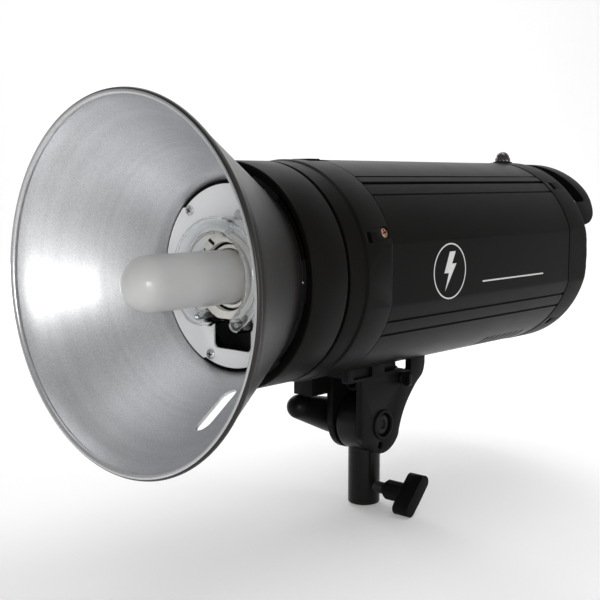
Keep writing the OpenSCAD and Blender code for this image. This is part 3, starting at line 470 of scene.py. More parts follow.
def applied(ob):
    """Makes the result of the object's modifiers its own mesh."""
    graph = bpy.context.evaluated_depsgraph_get()
    old, mats = ob.data, list(ob.data.materials)
    me = bpy.data.meshes.new_from_object(ob.evaluated_get(graph), preserve_all_data_layers=True,
                                         depsgraph=graph)
    ob.modifiers.clear()
    ob.data = me
    bpy.data.meshes.remove(old)
    if not len(me.materials):
        for m in mats:
            me.materials.append(m)


def carve(ob, *tools, op="DIFFERENCE", paint=0):
    """Cuts away, or with op joins, each tool mesh; paint is the material of the cut's faces."""
    for bm in tools:
        tool = raw("tool", bm)
        for m in ob.data.materials:
            tool.data.materials.append(m)
        for p in tool.data.polygons:
            p.material_index = paint
        mod = ob.modifiers.new("carve", "BOOLEAN")
        mod.object, mod.operation, mod.solver = tool, op, "EXACT"
        applied(ob)
        bpy.data.objects.remove(tool)


def piece(ob, body, nodes=(), bevel=0.0, angle=35, segs=2, sharp=35):
    """Softens the edges, sets the shading and gives the piece to its CAD body."""
    if bevel:
        mod = ob.modifiers.new("edge", "BEVEL")
        mod.width, mod.segments, mod.limit_method, mod.angle_limit = bevel * MM, segs, "ANGLE", radians(angle)
        mod.use_clamp_overlap = True
        mod.miter_outer = "MITER_ARC"
        applied(ob)
    for p in ob.data.polygons:
        p.use_smooth = True
    ob.data.set_sharp_from_angle(angle=radians(sharp))
    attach(ob, body)
    if nodes:
        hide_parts(*nodes)
    return ob


def polar(radius, theta, y):
    """A point round the lamp axis, in mm."""
    return Vector((radius * cos(radians(theta)), y, AXIS_Z + radius * sin(radians(theta))))


def oriented(origin, normal):
    """Places local x, y on a face and h along its outward normal."""
    o, n = Vector(origin), Vector(normal).normalized()
    side = Vector((0, 0, 1)).cross(n)
    side = side.normalized() if side.length > 0.01 else Vector((1, 0, 0))
    top = n.cross(side)
    return lambda x, y, h: (o + side * x + top * y + n * h) * MM


def radial(radius, theta, y):
    """Places h outward from the lamp axis, starting at that radius."""
    return oriented(polar(radius, theta, y), polar(1, theta, 0) - Vector((0, 0, AXIS_Z)))


def screw(name, place, r, depth, mat, turn=20, shaft=0.0, hexed=False):
    """A screw head with a rounded top and a cross or hexagon recess; h 0 is its seat."""
    outline = [(0, 0)]
    if shaft:
        outline = [(0, -shaft), (r * 0.5, -shaft), (r * 0.5, 0)]
    edge = depth * 0.5
    outline += [(r, 0), *arc(r - edge, edge, edge, 0, 70, 5), (r * 0.4, depth * 1.0875), (0, depth * 1.105)]
    ob = raw(name, lathe(outline, place, 48), [mat, "recess_shade"])
    if hexed:
        tools = [prism(circle(0, 0, r * 0.5, 6), place, depth * 0.35, depth * 2)]
    else:
        length, width = r * 0.62, r * 0.13
        bar = box(-length, -width, length, width)
        tools = [prism(turned(bar, turn + k), place, depth * 0.3, depth * 2) for k in (0, 90)]
    # the recess walls take slot 1, painted near-black as the shade inside the recess
    carve(ob, *tools, paint=1)
    return piece(ob, "head", bevel=r * 0.03, segs=1)


def screws(name, node, places, r, depth, mat, turns, shaft):
    """A group of screws that together stand for one CAD node; turns is the first's turn and the step."""
    for i, place in enumerate(places):
        ob = screw(f"{name}_{i}", place, r, depth, mat, turns[0] + turns[1] * i, shaft)
        if i == 0:
            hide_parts(node)


def from_cad(node, mat, bevel=0.4, body=None):
    """A copy of a CAD solid with merged faces and softened edges, shown in the solid's place."""
    src = NODES[node]
    bm = bmesh.new()
    bm.from_mesh(src.data)
    bmesh.ops.remove_doubles(bm, verts=bm.verts, dist=3e-6)
    bmesh.ops.dissolve_limit(bm, angle_limit=radians(1), verts=bm.verts, edges=bm.edges)
    return piece(raw(node + "_soft", bm, [mat]), body or src["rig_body"], [node], bevel)

# ---------------------------------------------------------------- camera, floor and light

CAMERA_HEADING = radians(42.361)
CAMERA_DOWN = 6.608        # degrees below level


def camera():
    cam = bpy.data.objects.new("camera", bpy.data.cameras.new("camera"))
    bpy.context.scene.collection.objects.link(cam)
    cam.data.lens, cam.data.sensor_width = 63.0, 36.0
    cam.data.clip_start, cam.data.clip_end = 0.02, 20
    cam.location = (0.4464, -0.5555, 0.2234)
    cam.rotation_euler = (radians(90 - CAMERA_DOWN), 0, CAMERA_HEADING)
    bpy.context.scene.camera = cam


def area(name, at, to, size, power):
    lamp = bpy.data.lights.new(name, "AREA")
    lamp.shape, lamp.size, lamp.size_y = "RECTANGLE", size[0], size[1]
    lamp.energy = power
    ob = bpy.data.objects.new(name, lamp)
    bpy.context.scene.collection.objects.link(ob)
    ob.location = at
    ob.rotation_euler = (Vector(to) - Vector(at)).to_track_quat("-Z", "Y").to_euler()


def studio():
    scene = bpy.context.scene
    world = bpy.data.worlds.new("studio")
    world.use_nodes = True
    world.node_tree.nodes["Background"].inputs[0].default_value = (1, 1, 1, 1)
    world.node_tree.nodes["Background"].inputs[1].default_value = 0.40
    scene.world = world
    scene.view_settings.view_transform = "Standard"
    # pale sweep: floor running up into a back wall, square to the camera's heading
    bend = [(0.9 + 0.8 * sin(radians(7.5 * k)), 0.8 - 0.8 * cos(radians(7.5 * k))) for k in range(1, 13)]
    line = [(-2.6, 0.0), (0.9, 0.0), *bend, (1.7, 3.4)]
    back = Vector((-sin(CAMERA_HEADING), cos(CAMERA_HEADING), 0))
    side = Vector((cos(CAMERA_HEADING), sin(CAMERA_HEADING), 0))
    under = Vector((0, 0, -0.0006))        # keeps the floor just clear of the stand socket
    bm = bmesh.new()
    rows = [[bm.verts.new(back * d + side * w + Vector((0, 0, h)) + under) for w in (-4, 4)] for d, h in line]
    for a, b in zip(rows, rows[1:]):
        bm.faces.new((a[0], a[1], b[1], b[0]))
    me = bpy.data.meshes.new("sweep")
    bm.to_mesh(me)
    floor = bpy.data.objects.new("sweep", me)
    scene.collection.objects.link(floor)
    for p in me.polygons:
        p.use_smooth = True
    s = Shader("pale_sweep", Roughness=0.9)
    s.bsdf.inputs["Base Color"].default_value = (0.90, 0.90, 0.90, 1)
    s.bsdf.inputs["Emission Color"].default_value = (1, 1, 1, 1)
    s.bsdf.inputs["Emission Strength"].default_value = 0.17
    me.materials.append(s.mat)
    area("key", (0.95, -1.05, 0.28), (0, -0.15, 0.17), (0.24, 0.34), 4.5)
    area("key_strip", (1.22, -0.85, 0.28), (0, -0.15, 0.17), (0.06, 0.34), 1.5)
    area("overhead", (0.1, 0.25, 1.35), (0, 0.0, 0.17), (0.9, 0.5), 5)
    area("side", (1.4, 0.6, 0.5), (0, 0.05, 0.17), (0.3, 0.9), 2)
    area("rear_fill", (-1.2, 0.55, 0.35), (0, 0.1, 0.17), (0.4, 0.5), 4)
    area("back_wash", (-1.2, 1.0, 1.6), (-0.9, 1.5, 0.4), (1.4, 1.4), 14)


camera()
studio()

# ---------------------------------------------------------------- reflector

# Points and directions in the section of the dish, as (radius, y).
NECK = Vector((57.0, -128.6))
BEAD = Vector((102.98, -207.6))
BEAD_R = 2.0
SHEET = 1.5
RUN = (BEAD - NECK).normalized()
WALL = Vector((-RUN.y, RUN.x))         # outward normal of the cone
SLOT_ANGLE = -73.2                     # umbrella slot, round the lamp axis
SLOT_DEPTH = 30.7                      # its middle, in front of the neck
SLOT_R = 6.1


def dish_outline():
    """The dish's section, with the material of each of its edges: inside, bare rim or outside."""
    bead_in = BEAD - RUN * BEAD_R
    bead_out = BEAD + WALL * SHEET - RUN * sqrt(BEAD_R ** 2 - SHEET ** 2)
    first = atan2((bead_in - BEAD).y, (bead_in - BEAD).x)
    last = atan2((bead_out - BEAD).y, (bead_out - BEAD).x) + 2 * pi
    inner = [tuple(NECK + (bead_in - NECK) * i / 10) for i in range(10)]
    bead = arc(BEAD.x, BEAD.y, BEAD_R, first * 180 / pi, last * 180 / pi, 20)
    neck_out = NECK + WALL * SHEET
    outer = [tuple(bead_out + (neck_out - bead_out) * i / 10) for i in range(1, 11)]
    collar = [(neck_out.x, -127.7), (NECK.x, -127.7)]
    pts = inner + bead + outer + collar
    slots = [0] * len(inner) + [1] * 11 + [2] * 19
    return pts, slots + [1] * (len(pts) - len(slots))


def reflector():
    pts, slots = dish_outline()
    ob = raw("reflector_shell", lathe(pts, segs=288, slots=slots), ["inner", "rim", "outer"])
    # umbrella slot: local x runs along the wall, y round the dish and h out through the sheet
    t = radians(SLOT_ANGLE)
    mid = NECK + RUN * (SLOT_DEPTH / -RUN.y)
    out = Vector((cos(t), 0, sin(t)))
    centre = Vector((0, mid.y, AXIS_Z)) + out * mid.x
    along = out * RUN.x + Vector((0, RUN.y, 0))
    outward = out * WALL.x + Vector((0, WALL.y, 0))
    round_dish = along.cross(outward)
    hole = arc(11.9, 0, SLOT_R, -90, 90, 12) + arc(-11.9, 0, SLOT_R, 90, 270, 12)
    carve(ob, prism(hole, lambda x, y, h: (centre + along * x + round_dish * y + outward * h) * MM, -6, 6))
    # the cut loses the wall's materials near the slot, so they are set again by depth in the sheet
    for p in ob.data.polygons:
        c = p.center / MM
        place = Vector((sqrt(c.x ** 2 + (c.z - AXIS_Z) ** 2), c.y)) - mid
        if abs(place.dot(RUN)) < 19 and c.z < 110 and abs(c.x - centre.x) < 14:
            depth = place.dot(WALL)
            p.material_index = 0 if depth < 0.4 else (2 if depth > 1.3 else 1)
    piece(ob, "reflector", ["reflector_dish"], bevel=0.25, angle=50)


reflector()

# ---------------------------------------------------------------- front rings and housing

def rings():
    ring = soft([(RING_R, -129.9, 0.9), (RING_R, -99.9, 0.7), (65, -99.9, 0.3), (65, -121.6, 0.5),
                 (46, -121.6, 0.4), (46, -124.6, 0.4), (65, -124.6, 0.5), (65, -128.3, 0.4),
                 (63, -128.3, 0.3), (63, -129.9, 0.5)], 3)
    bm = lathe(ring, segs=256)
    tab = soft([(65.2, -129.9, 0.3), (65.2, -128.5, 0.3), (60.6, -128.5, 0.3), (60.6, -129.9, 0.3)], 2)
    for c in (30, 150, 270):
        lathe(tab, segs=24, span=(c - 18, c + 18), bm=bm)
    piece(raw("mount_ring_shell", bm, ["plastic"]), "head", ["mount_ring"])


def housing():
    shell = soft([(65, -105.9, 0.5), (65, -97.3, 0.3), (RING_R, -97.3, 0.8), (RING_R, -83.6, 0.6),
                  (BODY_R, -81.9, 0.8), (BODY_R, BODY_FRONT, 0.45), (BODY_WALL_R, BODY_FRONT, 0.3),
                  (BODY_WALL_R, -81.4, 0.5), (61.6, -81.4, 0.5), (61.6, -105.9, 0.4)], 3)
    ob = raw("front_housing_shell", lathe(shell, segs=256), ["plastic"])
    for s in (-1, 1):
        facet = [(s * 66.3, -55), (s * 70.94, -100), (s * 90, -100), (s * 90, -55)]
        carve(ob, prism(facet, upright(0, 0), 60, 270))
    carve(ob, block((-12, -71, AXIS_Z + 67.8), (12, -50, AXIS_Z + 80)),
          block((-5.2, -68, AXIS_Z + 55), (5.2, -58.2, AXIS_Z + 80)))
    for a in HOUSING_SCREWS:
        carve(ob, prism(circle(0, 0, 3.6, 32), radial(0, a, -61.5), 67.2, 75))
    for a in (19.7, 160.3):
        carve(ob, prism(soft(box(-2.1, -3.4, 2.1, 3.4, 1)), radial(0, a, -77.4), 67.2, 75))
    piece(ob, "head", ["front_housing"], bevel=0.35, angle=22, sharp=40)
    screws("housing_screw", "housing_screws", [radial(67.2, a, -61.5) for a in HOUSING_SCREWS], 3.25, 1.5,
           "copper", (15, 20), 5)


rings()
housing()


def slider():
    top = AXIS_Z + BODY_R
    outline = [(-66, top - 1), (-55, top - 1), (-55, top + 0.1), (-55.5, top + 0.5)]
    for i in range(6):
        y = -56.9 - i * 1.6
        outline += [(y, top + 0.5), (y - 0.15, top), (y - 0.65, top), (y - 0.8, top + 0.5)]
    outline += [(-66, top + 0.1)]
    bm = prism(outline, across, -7, 7)
    block((-4.6, -66, AXIS_Z + 58.5), (4.6, -62, top - 0.5), bm)
    piece(raw("release_thumb_slide", bm, ["lever"]), "release", ["release_slider"],
          bevel=0.2, angle=40)


slider()

# ---------------------------------------------------------------- body

# Long grooves of one half, mirrored to the other: angle, width and depth.
GROOVES = ((57.7, 0.9, 0.7), (52.0, 2.4, 1.6), (43.3, 1.1, 0.8), (-24.5, 1.5, 1.0), (-33.0, 1.5, 1.0))


def flattened(radius, flat, theta):
    """Radius of a circle with two side flats."""
    return min(radius, flat / max(abs(cos(radians(theta))), 1e-6))


def body_section():
    """Stations round the tube, as (angle, depth below its outline), close together at a groove."""
    marks = [((180 - a) % 360, w, d) for a, w, d in GROOVES] + [(a % 360, w, d) for a, w, d in GROOVES]
    stations, theta = [], 0.0
    for a, w, d in sorted(marks):
        half = (w / 2 + 0.3) / BODY_R * 180 / pi
        while theta < a - half - 0.4:
            stations.append((theta, 0))
            theta += 1.0
        profile = [(w / 2 + 0.3, 0), (w / 2, 0.3), (w / 2 - 0.12, d - 0.15), (w / 2 - 0.3, d)]
        for x, drop in [(-x, drop) for x, drop in profile] + profile[::-1]:
            stations.append((a + x / BODY_R * 180 / pi, drop))
        theta = int(a + half + 0.4) + 1.0
    while theta < 359.9:
        stations.append((theta, 0))
        theta += 1.0
    return stations


def body():
    outer, inner = [], []
    for theta, drop in body_section():
        t = radians(theta)
        r, r_in = flattened(BODY_R, FLAT_X, theta) - drop, flattened(BODY_WALL_R, 63.5, theta)
        outer.append((r * cos(t), r * sin(t)))
        inner.append((r_in * cos(t), r_in * sin(t)))
    bm = bmesh.new()
    rows = []
    for y, chamfer in ((BODY_FRONT, 0.45), (-56.6, 0), (-20, 0), (20, 0), (60, 0), (110, 0), (159.6, 0),
                       (BODY_REAR, 0.45)):
        k = 1 - chamfer / BODY_R
        rows.append([bm.verts.new(lamp_axis(x * k, z * k, y)) for x, z in outer])
    rows += [[bm.verts.new(lamp_axis(x, z, y)) for x, z in inner] for y in (BODY_REAR, BODY_FRONT)]
    n = len(outer)
    for a, b in zip(rows, rows[1:] + rows[:1]):
        for i in range(n):
            bm.faces.new((a[i], a[(i + 1) % n], b[(i + 1) % n], b[i]))
    ob = raw("body_extrusion", bm, ["body"])
    vents = bmesh.new()
    for i in range(7):
        y = 92 + i * 8
        for x in (-26, 26):
            prism(soft(box(x - 14, y, x + 14, y + 3.2, 1.5)), upright(0, 0), AXIS_Z - 75, AXIS_Z - 50, vents)
    carve(ob, vents, block((-12, -62, AXIS_Z + 67.8), (12, -51, AXIS_Z + 80)))
    piece(ob, "head", ["body_tube"], sharp=30)


body()


def side_marks():
    """Generic printing on the near flat: a bolt sign in a ring and a thin rule."""
    low, high = -0.02, 0.06
    place = lambda y, z, h: Vector((FLAT_X + h, y, AXIS_Z + z)) * MM
    bolt = [(3, 11), (9.5, 11), (5.6, 3.2), (10.6, 3.2), (-1.6, -14), (2.2, -2.6), (-2.8, -2.6)]
    bm = prism(bolt, place, low, high)
    prism(soft(box(42, -11.2, 122, -10.2, 0.2), 2), place, low, high, bm)
    ring = bmesh.new()
    sides = [(18, low), (18, high), (17.1, high), (17.1, low)]
    rows = [[ring.verts.new(place(x, y, h)) for x, y in circle(3.6, -1.5, r, 144)] for r, h in sides]
    for a, b in zip(rows, rows[1:] + rows[:1]):
        for i in range(144):
            ring.faces.new((a[i], a[(i + 1) % 144], b[(i + 1) % 144], b[i]))
    piece(raw("side_mark", bm, ["print"]), "head")
    piece(raw("side_mark_ring", ring, ["print"]), "head")


side_marks()

# ---------------------------------------------------------------- rear cover, handle and sensor

def rear_cover():
    outline = soft([(69.6, BODY_REAR, 0.5), (69.6, 188.0, 5.0), (58.0, 188.0, 1.2), (58.0, PANEL_Y, 0.2),
                    (66.0, PANEL_Y, 0.2), (66.0, BODY_REAR, 0.2)], 7)
    bm = lathe(outline, segs=288)
    flat = 66.8 * MM
    for v in bm.verts:
        v.co.x = max(-flat, min(flat, v.co.x))
    ob = raw("rear_cover_shell", bm, ["cover"])
    places = [radial(0, a, 167.7) for a in COVER_SCREWS]
    for place in places:
        carve(ob, prism(soft(box(-2.5, -3.6, 2.5, 3.6, 0.8)), place, 66.4, 75))
    foot = [(68.75, 181), (68.75, 200), (61.25, 200), (61.25, 181)]
    for a0 in (18.8, 144.8):
        carve(ob, lathe(foot, segs=24, span=(a0, a0 + 16.4)))
    piece(ob, "head", ["rear_cover"], bevel=0.3, angle=28, sharp=38)
    screws("cover_screw", "cover_screws", [radial(66.4, a, 167.7) for a in COVER_SCREWS], 2.1, 1.1,
           "dark_steel", (0, 30), 4)


rear_cover()


def handle():
    """A U cut from a band and bent round the lamp axis: its outline is drawn in (arc length, y)."""
    k = HANDLE_R * pi / 180          # arc length of a degree
    corner = smooth_line([(19, 181), (19, 187), (20.6, 196), (24.8, 204.3), (29.4, 208.6), (34, 211.6),
                          (38, 213.8), (44, 215.9), (53, HANDLE_REAR), (62, HANDLE_REAR)], 4)
    corner = [(t, min(y, HANDLE_REAR)) for t, y in corner]
    outline = [(t * k, y) for t, y in corner] + [((180 - t) * k, y) for t, y in reversed(corner)]
    outline += soft([(35 * k, 181), (35 * k, 203, 4), (145 * k, 203, 4), (145 * k, 181)], 8)[::-1]
    bm = prism(outline, lambda x, y, h: Vector((x, y, h)), HANDLE_R - 3.5, HANDLE_R + 3.5)
    for a in range(20, 161, 2):
        geom = bm.verts[:] + bm.edges[:] + bm.faces[:]
        bmesh.ops.bisect_plane(bm, geom=geom, plane_co=(a * k, 0, 0), plane_no=(1, 0, 0))
    for v in bm.verts:
        v.co = polar(v.co.z, v.co.x / k, v.co.y) * MM
    ob = raw("carry_handle_bow", bm, ["cover"])
    for a in HANDLE_SCREWS:
        carve(ob, prism(circle(0, 0, 3.3, 24), oriented(polar(HANDLE_R, a, 0), (0, 1, 0)), 199, 220))
    piece(ob, "head", ["carry_handle"], bevel=1.1, angle=38, segs=3, sharp=45)
    screws("handle_screw", "handle_screws",
           [oriented(polar(HANDLE_R, a, 199), (0, 1, 0)) for a in HANDLE_SCREWS], 3.0, 1.7,
           "dark_steel", (0, 40), 6)


handle()


def sensor():
    place = upright(0, 172)
    z = AXIS_Z + 64
    collar = soft([(4.1, z), (7.5, z), (7.5, z + 6.4, 0.8), (4.1, z + 6.4)], 4)
    piece(raw("sensor_seat", lathe(collar, place, 64), ["cover"]), "head", ["sensor_collar"])
    dome = [(0, z + 1), (4.1, z + 1), (4.1, z + 6.2), (5.5, z + 6.4), (5.6, z + 6.8), (5.6, z + 8.6),
            (5.4, z + 9.0)]
    dome += [(5.35 * cos(radians(a)), z + 8.9 + 5.3 * sin(radians(a))) for a in range(10, 90, 10)]
    dome += [(0, z + 14.2)]

    def ribs(a, r, h):
        return 0.35 * max(0.0, cos(18 * a)) ** 2 if 5.3 < r and h < z + 9.2 else 0.0

    cap = raw("sensor_cap", lathe(dome, place, 144, wave=ribs), ["lens"])
    piece(cap, "head", ["sensor_dome"])


sensor()

# ---------------------------------------------------------------- lamp, flash tube and face plate

def lamp():
    glass = [(0, -204.6)] + [(16 * sin(radians(a)), -188.6 - 16 * cos(radians(a))) for a in range(6, 91, 6)]
    glass += [(16, -175), (16, -160), (16, -145), (16, -132)]
    glass += [(15.9, -124.6), (15.3, -123.4), (13.3, -120.4), (13.0, -119.5), (0, -119.5)]
    envelope = raw("lamp_envelope", lathe(glass, segs=128), ["frosted"])
    piece(envelope, "head", ["lamp_glass"])
    front = -127.6
    cup = soft([(0, -96.4), (19, -96.4, 0.5), (19, front, 1.3), (16.7, front, 0.5), (16.7, -119.6, 0.4),
                (13.9, -118.6, 0.3), (13.9, -100, 0.3), (0, -100)], 4)
    piece(raw("lamp_cup", lathe(cup, segs=96), ["porcelain"]), "head", ["lamp_holder"])


lamp()

RING_Y = -139.0        # the flash tube's ring
LEG_BEND = 5.0         # radius of the bend from a leg into the ring


def tube_leg(theta, way):
    """From behind the plate forward, then round into the ring."""
    out = [polar(TUBE_R, theta, y) for y in (-117, -121, -125, -129, -133)]
    turn = LEG_BEND / TUBE_R * 180 / pi
    for k in range(1, 7):
        a = radians(15 * k)
        out.append(polar(TUBE_R, theta + way * turn * (1 - cos(a)), RING_Y + LEG_BEND - LEG_BEND * sin(a)))
    return out


def flash_tube():
    legs = [tube_leg(theta, way) for theta, way in zip(TUBE_LEGS, (1, -1))]
    start, stop = TUBE_LEGS[0] + 9.24, TUBE_LEGS[1] - 9.24
    ring = [polar(TUBE_R, start + (stop - start) * i / 90, RING_Y) for i in range(1, 90)]
    path = legs[0] + ring + legs[1][::-1]
    bm = sweep(path, 4.6, 32)
    sweep(path, 3.5, 32, bm)
    ob = raw("flash_tube_glass", bm, ["glass"])
    # the second half of the faces is the bore, which has to face inwards
    bm = bmesh.new()
    bm.from_mesh(ob.data)
    bm.faces.ensure_lookup_table()
    bmesh.ops.reverse_faces(bm, faces=bm.faces[len(bm.faces) // 2:])
    bm.to_mesh(ob.data)
    bm.free()
    piece(ob, "head", ["flash_tube"], sharp=60)


def electrodes():
    bm = bmesh.new()
    for theta, way in zip(TUBE_LEGS, (1, -1)):
        leg = tube_leg(theta, way)
        sweep(leg[:9], [1.0] * 6 + [1.7, 1.7, 1.2], 16, bm)
        collar = [(0, -116.9), (3.3, -116.9), (3.3, -119.2), (0, -119.2)]
        lathe(collar, along_y(leg[0].x, leg[0].z), 24, bm=bm)
    piece(raw("tube_electrode", bm, ["steel"]), "head")


def trigger_wire():
    wire = [polar(25.75, 205, y) for y in (-130.6, -134, -137, -138.6)]
    wire += [polar(25.75, 205 - i * 1.6, RING_Y) for i in range(72)]
    lead = raw("trigger_lead", sweep(wire, 0.4, 10), ["tinned"])
    piece(lead, "head", ["trigger_wire"], sharp=60)


flash_tube()
electrodes()
trigger_wire()


def through_plate(outline):
    return prism(outline, lamp_axis, -135, -120)


def face_plate():
    edge = []
    for i in range(240):
        t = i * 1.5
        r = 56.1 if 134 <= t <= 246 or t >= 354 or t <= 50 else 54.6
        edge.append((r * cos(radians(t)), r * sin(radians(t))))
    ob = raw("face_plate_sheet", prism(edge, lamp_axis, PLATE_Y, PLATE_Y + 1.5), ["plate"])
    window = soft([(-13.4, -43.6, 3.5), (18.2, -43.6, 3.5), (18.2, -25, 1), (-13.4, -25, 1)], 6)
    legs = [polar(TUBE_R, a, 0) for a in TUBE_LEGS]
    carve(ob, through_plate(circle(0, 0, 20.4, 72)), through_plate(window),
          *[through_plate(circle(leg.x, leg.z - AXIS_Z, 5.5, 36)) for leg in legs])
    piece(ob, "head", ["face_plate"], bevel=0.3, angle=40)
    screws("face_screw", "face_screws", [oriented(polar(50.5, a, PLATE_Y), (0, -1, 0)) for a in FACE_SCREWS],
           3.2, 1.5, "steel", (35, 25), 3)


def ceramic_collar():
    front = PLATE_Y - 2.2
    seat = soft([(26.2, PLATE_Y), (26.2, front, 0.7), (20.4, front, 0.5), (20.4, PLATE_Y)], 4)
    ob = raw("ceramic_collar", lathe(seat, segs=144), ["ceramic", "recess_shade"])
    carve(ob, through_plate(box(-13.4, -43, 18.2, -25)))
    # a slot and a pin hole, blind, with their walls painted near-black as shade
    carve(ob, prism(turned(box(-2.8, -1.1, 2.8, 1.1), -32, -12.2, 20.0), lamp_axis, -132, -129.2),
          prism(circle(-18.2, 15.2, 0.7, 12), lamp_axis, -132, -129.2), paint=1)
    piece(ob, "head", ["ceramic_base"], bevel=0.2, angle=40)


face_plate()
ceramic_collar()

# ---------------------------------------------------------------- bracket

WING_Z = pivot("stand_screw_turn")[2]
LOBE_R = 20            # round the pivot, on the cheeks and the knuckle
THUMB_Y, THUMB_Z = pivot("umbrella_screw_turn")[1:]


def cheek_outline(near):
    """In (y, z): the rear edge down to the lobe, round it and up the front."""
    rear = smooth_line([(47.3, 106), (47.6, 98), (47.2, 92), (44.6, 86), (37, 80), (27.6, 69.6), (22, 60.5),
                        (18.4, 51.5)], 6)
    lobe = arc(0, PIVOT_Z, LOBE_R, -22, -150 if near else -178, 18)
    if near:
        front = [(-17.5, 45.2, 0), (-23, 50.5, 5), (-23, 90, 1.2), (-38, 90, 1.6), (-38, 106, 0)]
        front = soft(front + [(47.3, 106, 0)], 5)[:-1]
    else:
        front = [(-20.2, 56.5), (-20.6, 60), (-20.6, 106)]
    return rear + lobe[1:] + front


def cheek(name, x0, x1, node):
    near = x0 > 0
    ob = raw(name, prism(cheek_outline(near), across, x0, x1), ["cast"])
    tools = [lathe([(0, -60), (69.22, -60), (69.22, 90), (0, 90)], segs=256)]        # the round body
    if near:
        window = soft([(1, 92.8, 1.5), (22, 92.8, 2), (31.3, 90.2, 1.5), (31.3, 120), (1, 120)], 4)
        pocket = soft([(-32, 92, 1.2), (-12, 92, 1.2), (-12, 120), (-32, 120)], 4)
        tools += [prism(window, across, x0 - 1, x1 + 5),
                  prism(pocket, across, x0 + 2, x1 + 5),
                  prism(circle(-3, 43, 2.6, 24), across, x0 + 2, x1 + 5),
                  prism(circle(THUMB_Y, THUMB_Z, 3.05, 24), across, x0 - 2, x1 + 5),
                  prism(circle(0, PIVOT_Z, 8, 60), across, x1 - 3, x1 + 5)]
    else:
        tools.append(prism(box(20, 92.5, 31.5, 120), across, x0 - 1, x1 + 1))
    carve(ob, *tools)
    piece(ob, "head", [node], bevel=0.9, angle=38, segs=3, sharp=40)


def pivot_bolt():
    lip = soft([(8, 16.0), (10.2, 16.0), (10.2, 17.5, 0.7), (8, 17.5, 0.7)], 4)
    piece(raw("pivot_lip", lathe(lip, along_x(0, PIVOT_Z), 96), ["cast"]), "head")
    screw("pivot_bolt_head", oriented((13.3, 0, PIVOT_Z), (1, 0, 0)), 7.2, 2.8, "knuckle",
          hexed=True)
    shaft = soft([(0, -36.6), (5, -36.6, 0.6), (5, 13.3), (0, 13.3)], 3)
    ob = raw("pivot_shaft", lathe(shaft, along_x(0, PIVOT_Z), 64), ["dark_steel"])
    piece(ob, "head", ["pivot_bolt"])


def knuckle():
    """Domed hub and socket tube in one casting."""
    hub = soft([(0, -9.9), (LOBE_R, -9.9, 2.6), (LOBE_R, 9.9, 2.6), (0, 9.9)], 6)
    ob = raw("knuckle_casting", lathe(hub, along_x(0, PIVOT_Z), 128), ["knuckle"])
    tube = soft([(0, 0), (11, 0, 1.3), (11, 46.2, 0.8), (0, 46.2)], 5)
    carve(ob, lathe(tube, upright(0, 0), 128), op="UNION")
    carve(ob, lathe([(0, -1), (8.1, -1), (8.1, 34), (0, 34)], upright(0, 0), 96),
          prism(circle(0, WING_Z, 4.06, 48), across, 2, 20),
          prism(circle(0, PIVOT_Z, 5.06, 48), across, -20, 20))
    piece(ob, "stand_socket", ["knuckle"], bevel=0.6, angle=40, segs=3, sharp=40)


cheek("near_cheek_casting", 11.3, 16.3, "near_cheek")
cheek("far_cheek_casting", -16.3, -11.3, "far_cheek")
pivot_bolt()
for node, mat, width in (("saddle", "cast", 0.8), ("umbrella_tube", "cast", 0.4),
                         ("cheek_tie", "dark_steel", 0.4), ("saddle_screws", "dark_steel", 0.2),
                         ("friction_washers", "fibre", 0.1)):
    from_cad(node, mat, width)
knuckle()


def tilt_lever():
    """Two spheres of different size and the cone that touches both, turned about their common axis."""
    a, b = Vector((-30.5, 0, PIVOT_Z)), Vector((-30.5, -33.6, PIVOT_Z + 10.9))
    ra, rb = 12.4, 8.4
    length = (b - a).length
    axis = (b - a).normalized()
    side = Vector((1, 0, 0))
    up = axis.cross(side)
    lean = (ra - rb) / length
    split = pi / 2 - atan2(lean, sqrt(1 - lean * lean))        # where the cone touches the spheres
    last = int(split * 180 / pi)
    pts = [(0, -ra)] + [(ra * sin(radians(t)), -ra * cos(radians(t))) for t in range(6, 178 - last, 6)]
    for k in range(9):
        r = ra + (rb - ra) * k / 8
        pts.append((r * sin(split), length * k / 8 + r * cos(split)))
    pts += [(rb * sin(radians(t)), length + rb * cos(radians(t))) for t in range(last - 6, 0, -6)]
    pts += [(0, length + rb)]
    grip = lathe(pts, lambda x, y, h: (a + axis * h + side * x + up * y) * MM, 96)
    ob = raw("tilt_lever_grip", grip, ["lever"])
    boss = soft([(0, -30), (ra, -30), (ra, -16.9, 1.2), (0, -16.9)], 4)
    carve(ob, lathe(boss, along_x(0, PIVOT_Z), 96), op="UNION")
    carve(ob, lathe([(0, -37), (8, -37), (8, -10), (0, -10)], along_x(0, PIVOT_Z), 64))
    piece(ob, "lever", ["tilt_lever"], bevel=0.5, angle=45, segs=3, sharp=50)
    from_cad("lever_nut", "brass", 0.2)


tilt_lever()


def wing_screw():
    place = along_x(0, WING_Z)
    thread = [(0, 8.6), (3.2, 8.6)]
    for i in range(9):
        x = 9.2 + i * 1.25
        thread += [(3.35, x), (4.0, x + 0.5), (4.0, x + 0.7), (3.35, x + 1.2)]
    thread += [(3.4, 21.0), (0, 21.0)]
    ob = raw("stand_screw_thread", lathe(thread, place, 48), ["dark_steel"])
    piece(ob, "stand_clamp")
    collar = soft([(0, 20), (5.6, 20, 0.8), (7, 22, 0.8), (7, 35.5, 0.6), (0, 35.5)], 4)
    facets = lambda a, r, h: -0.35 * (1 - abs(cos(4 * a))) if r > 5.8 else 0.0
    ob = raw("stand_screw_wing", lathe(collar, place, 96, wave=facets), ["rubber"])
    bar = soft([(-4.5, -15.5, 4.4), (4.5, -15.5, 4.4), (4.9, 0, 6), (4.5, 15.5, 4.4), (-4.5, 15.5, 4.4),
                (-4.9, 0, 6)], 6)
    carve(ob, prism(turned(bar, -43.5), place, 34, 46), op="UNION")
    piece(ob, "stand_clamp", ["stand_screw"], bevel=1.0, angle=40, segs=3, sharp=40)


wing_screw()


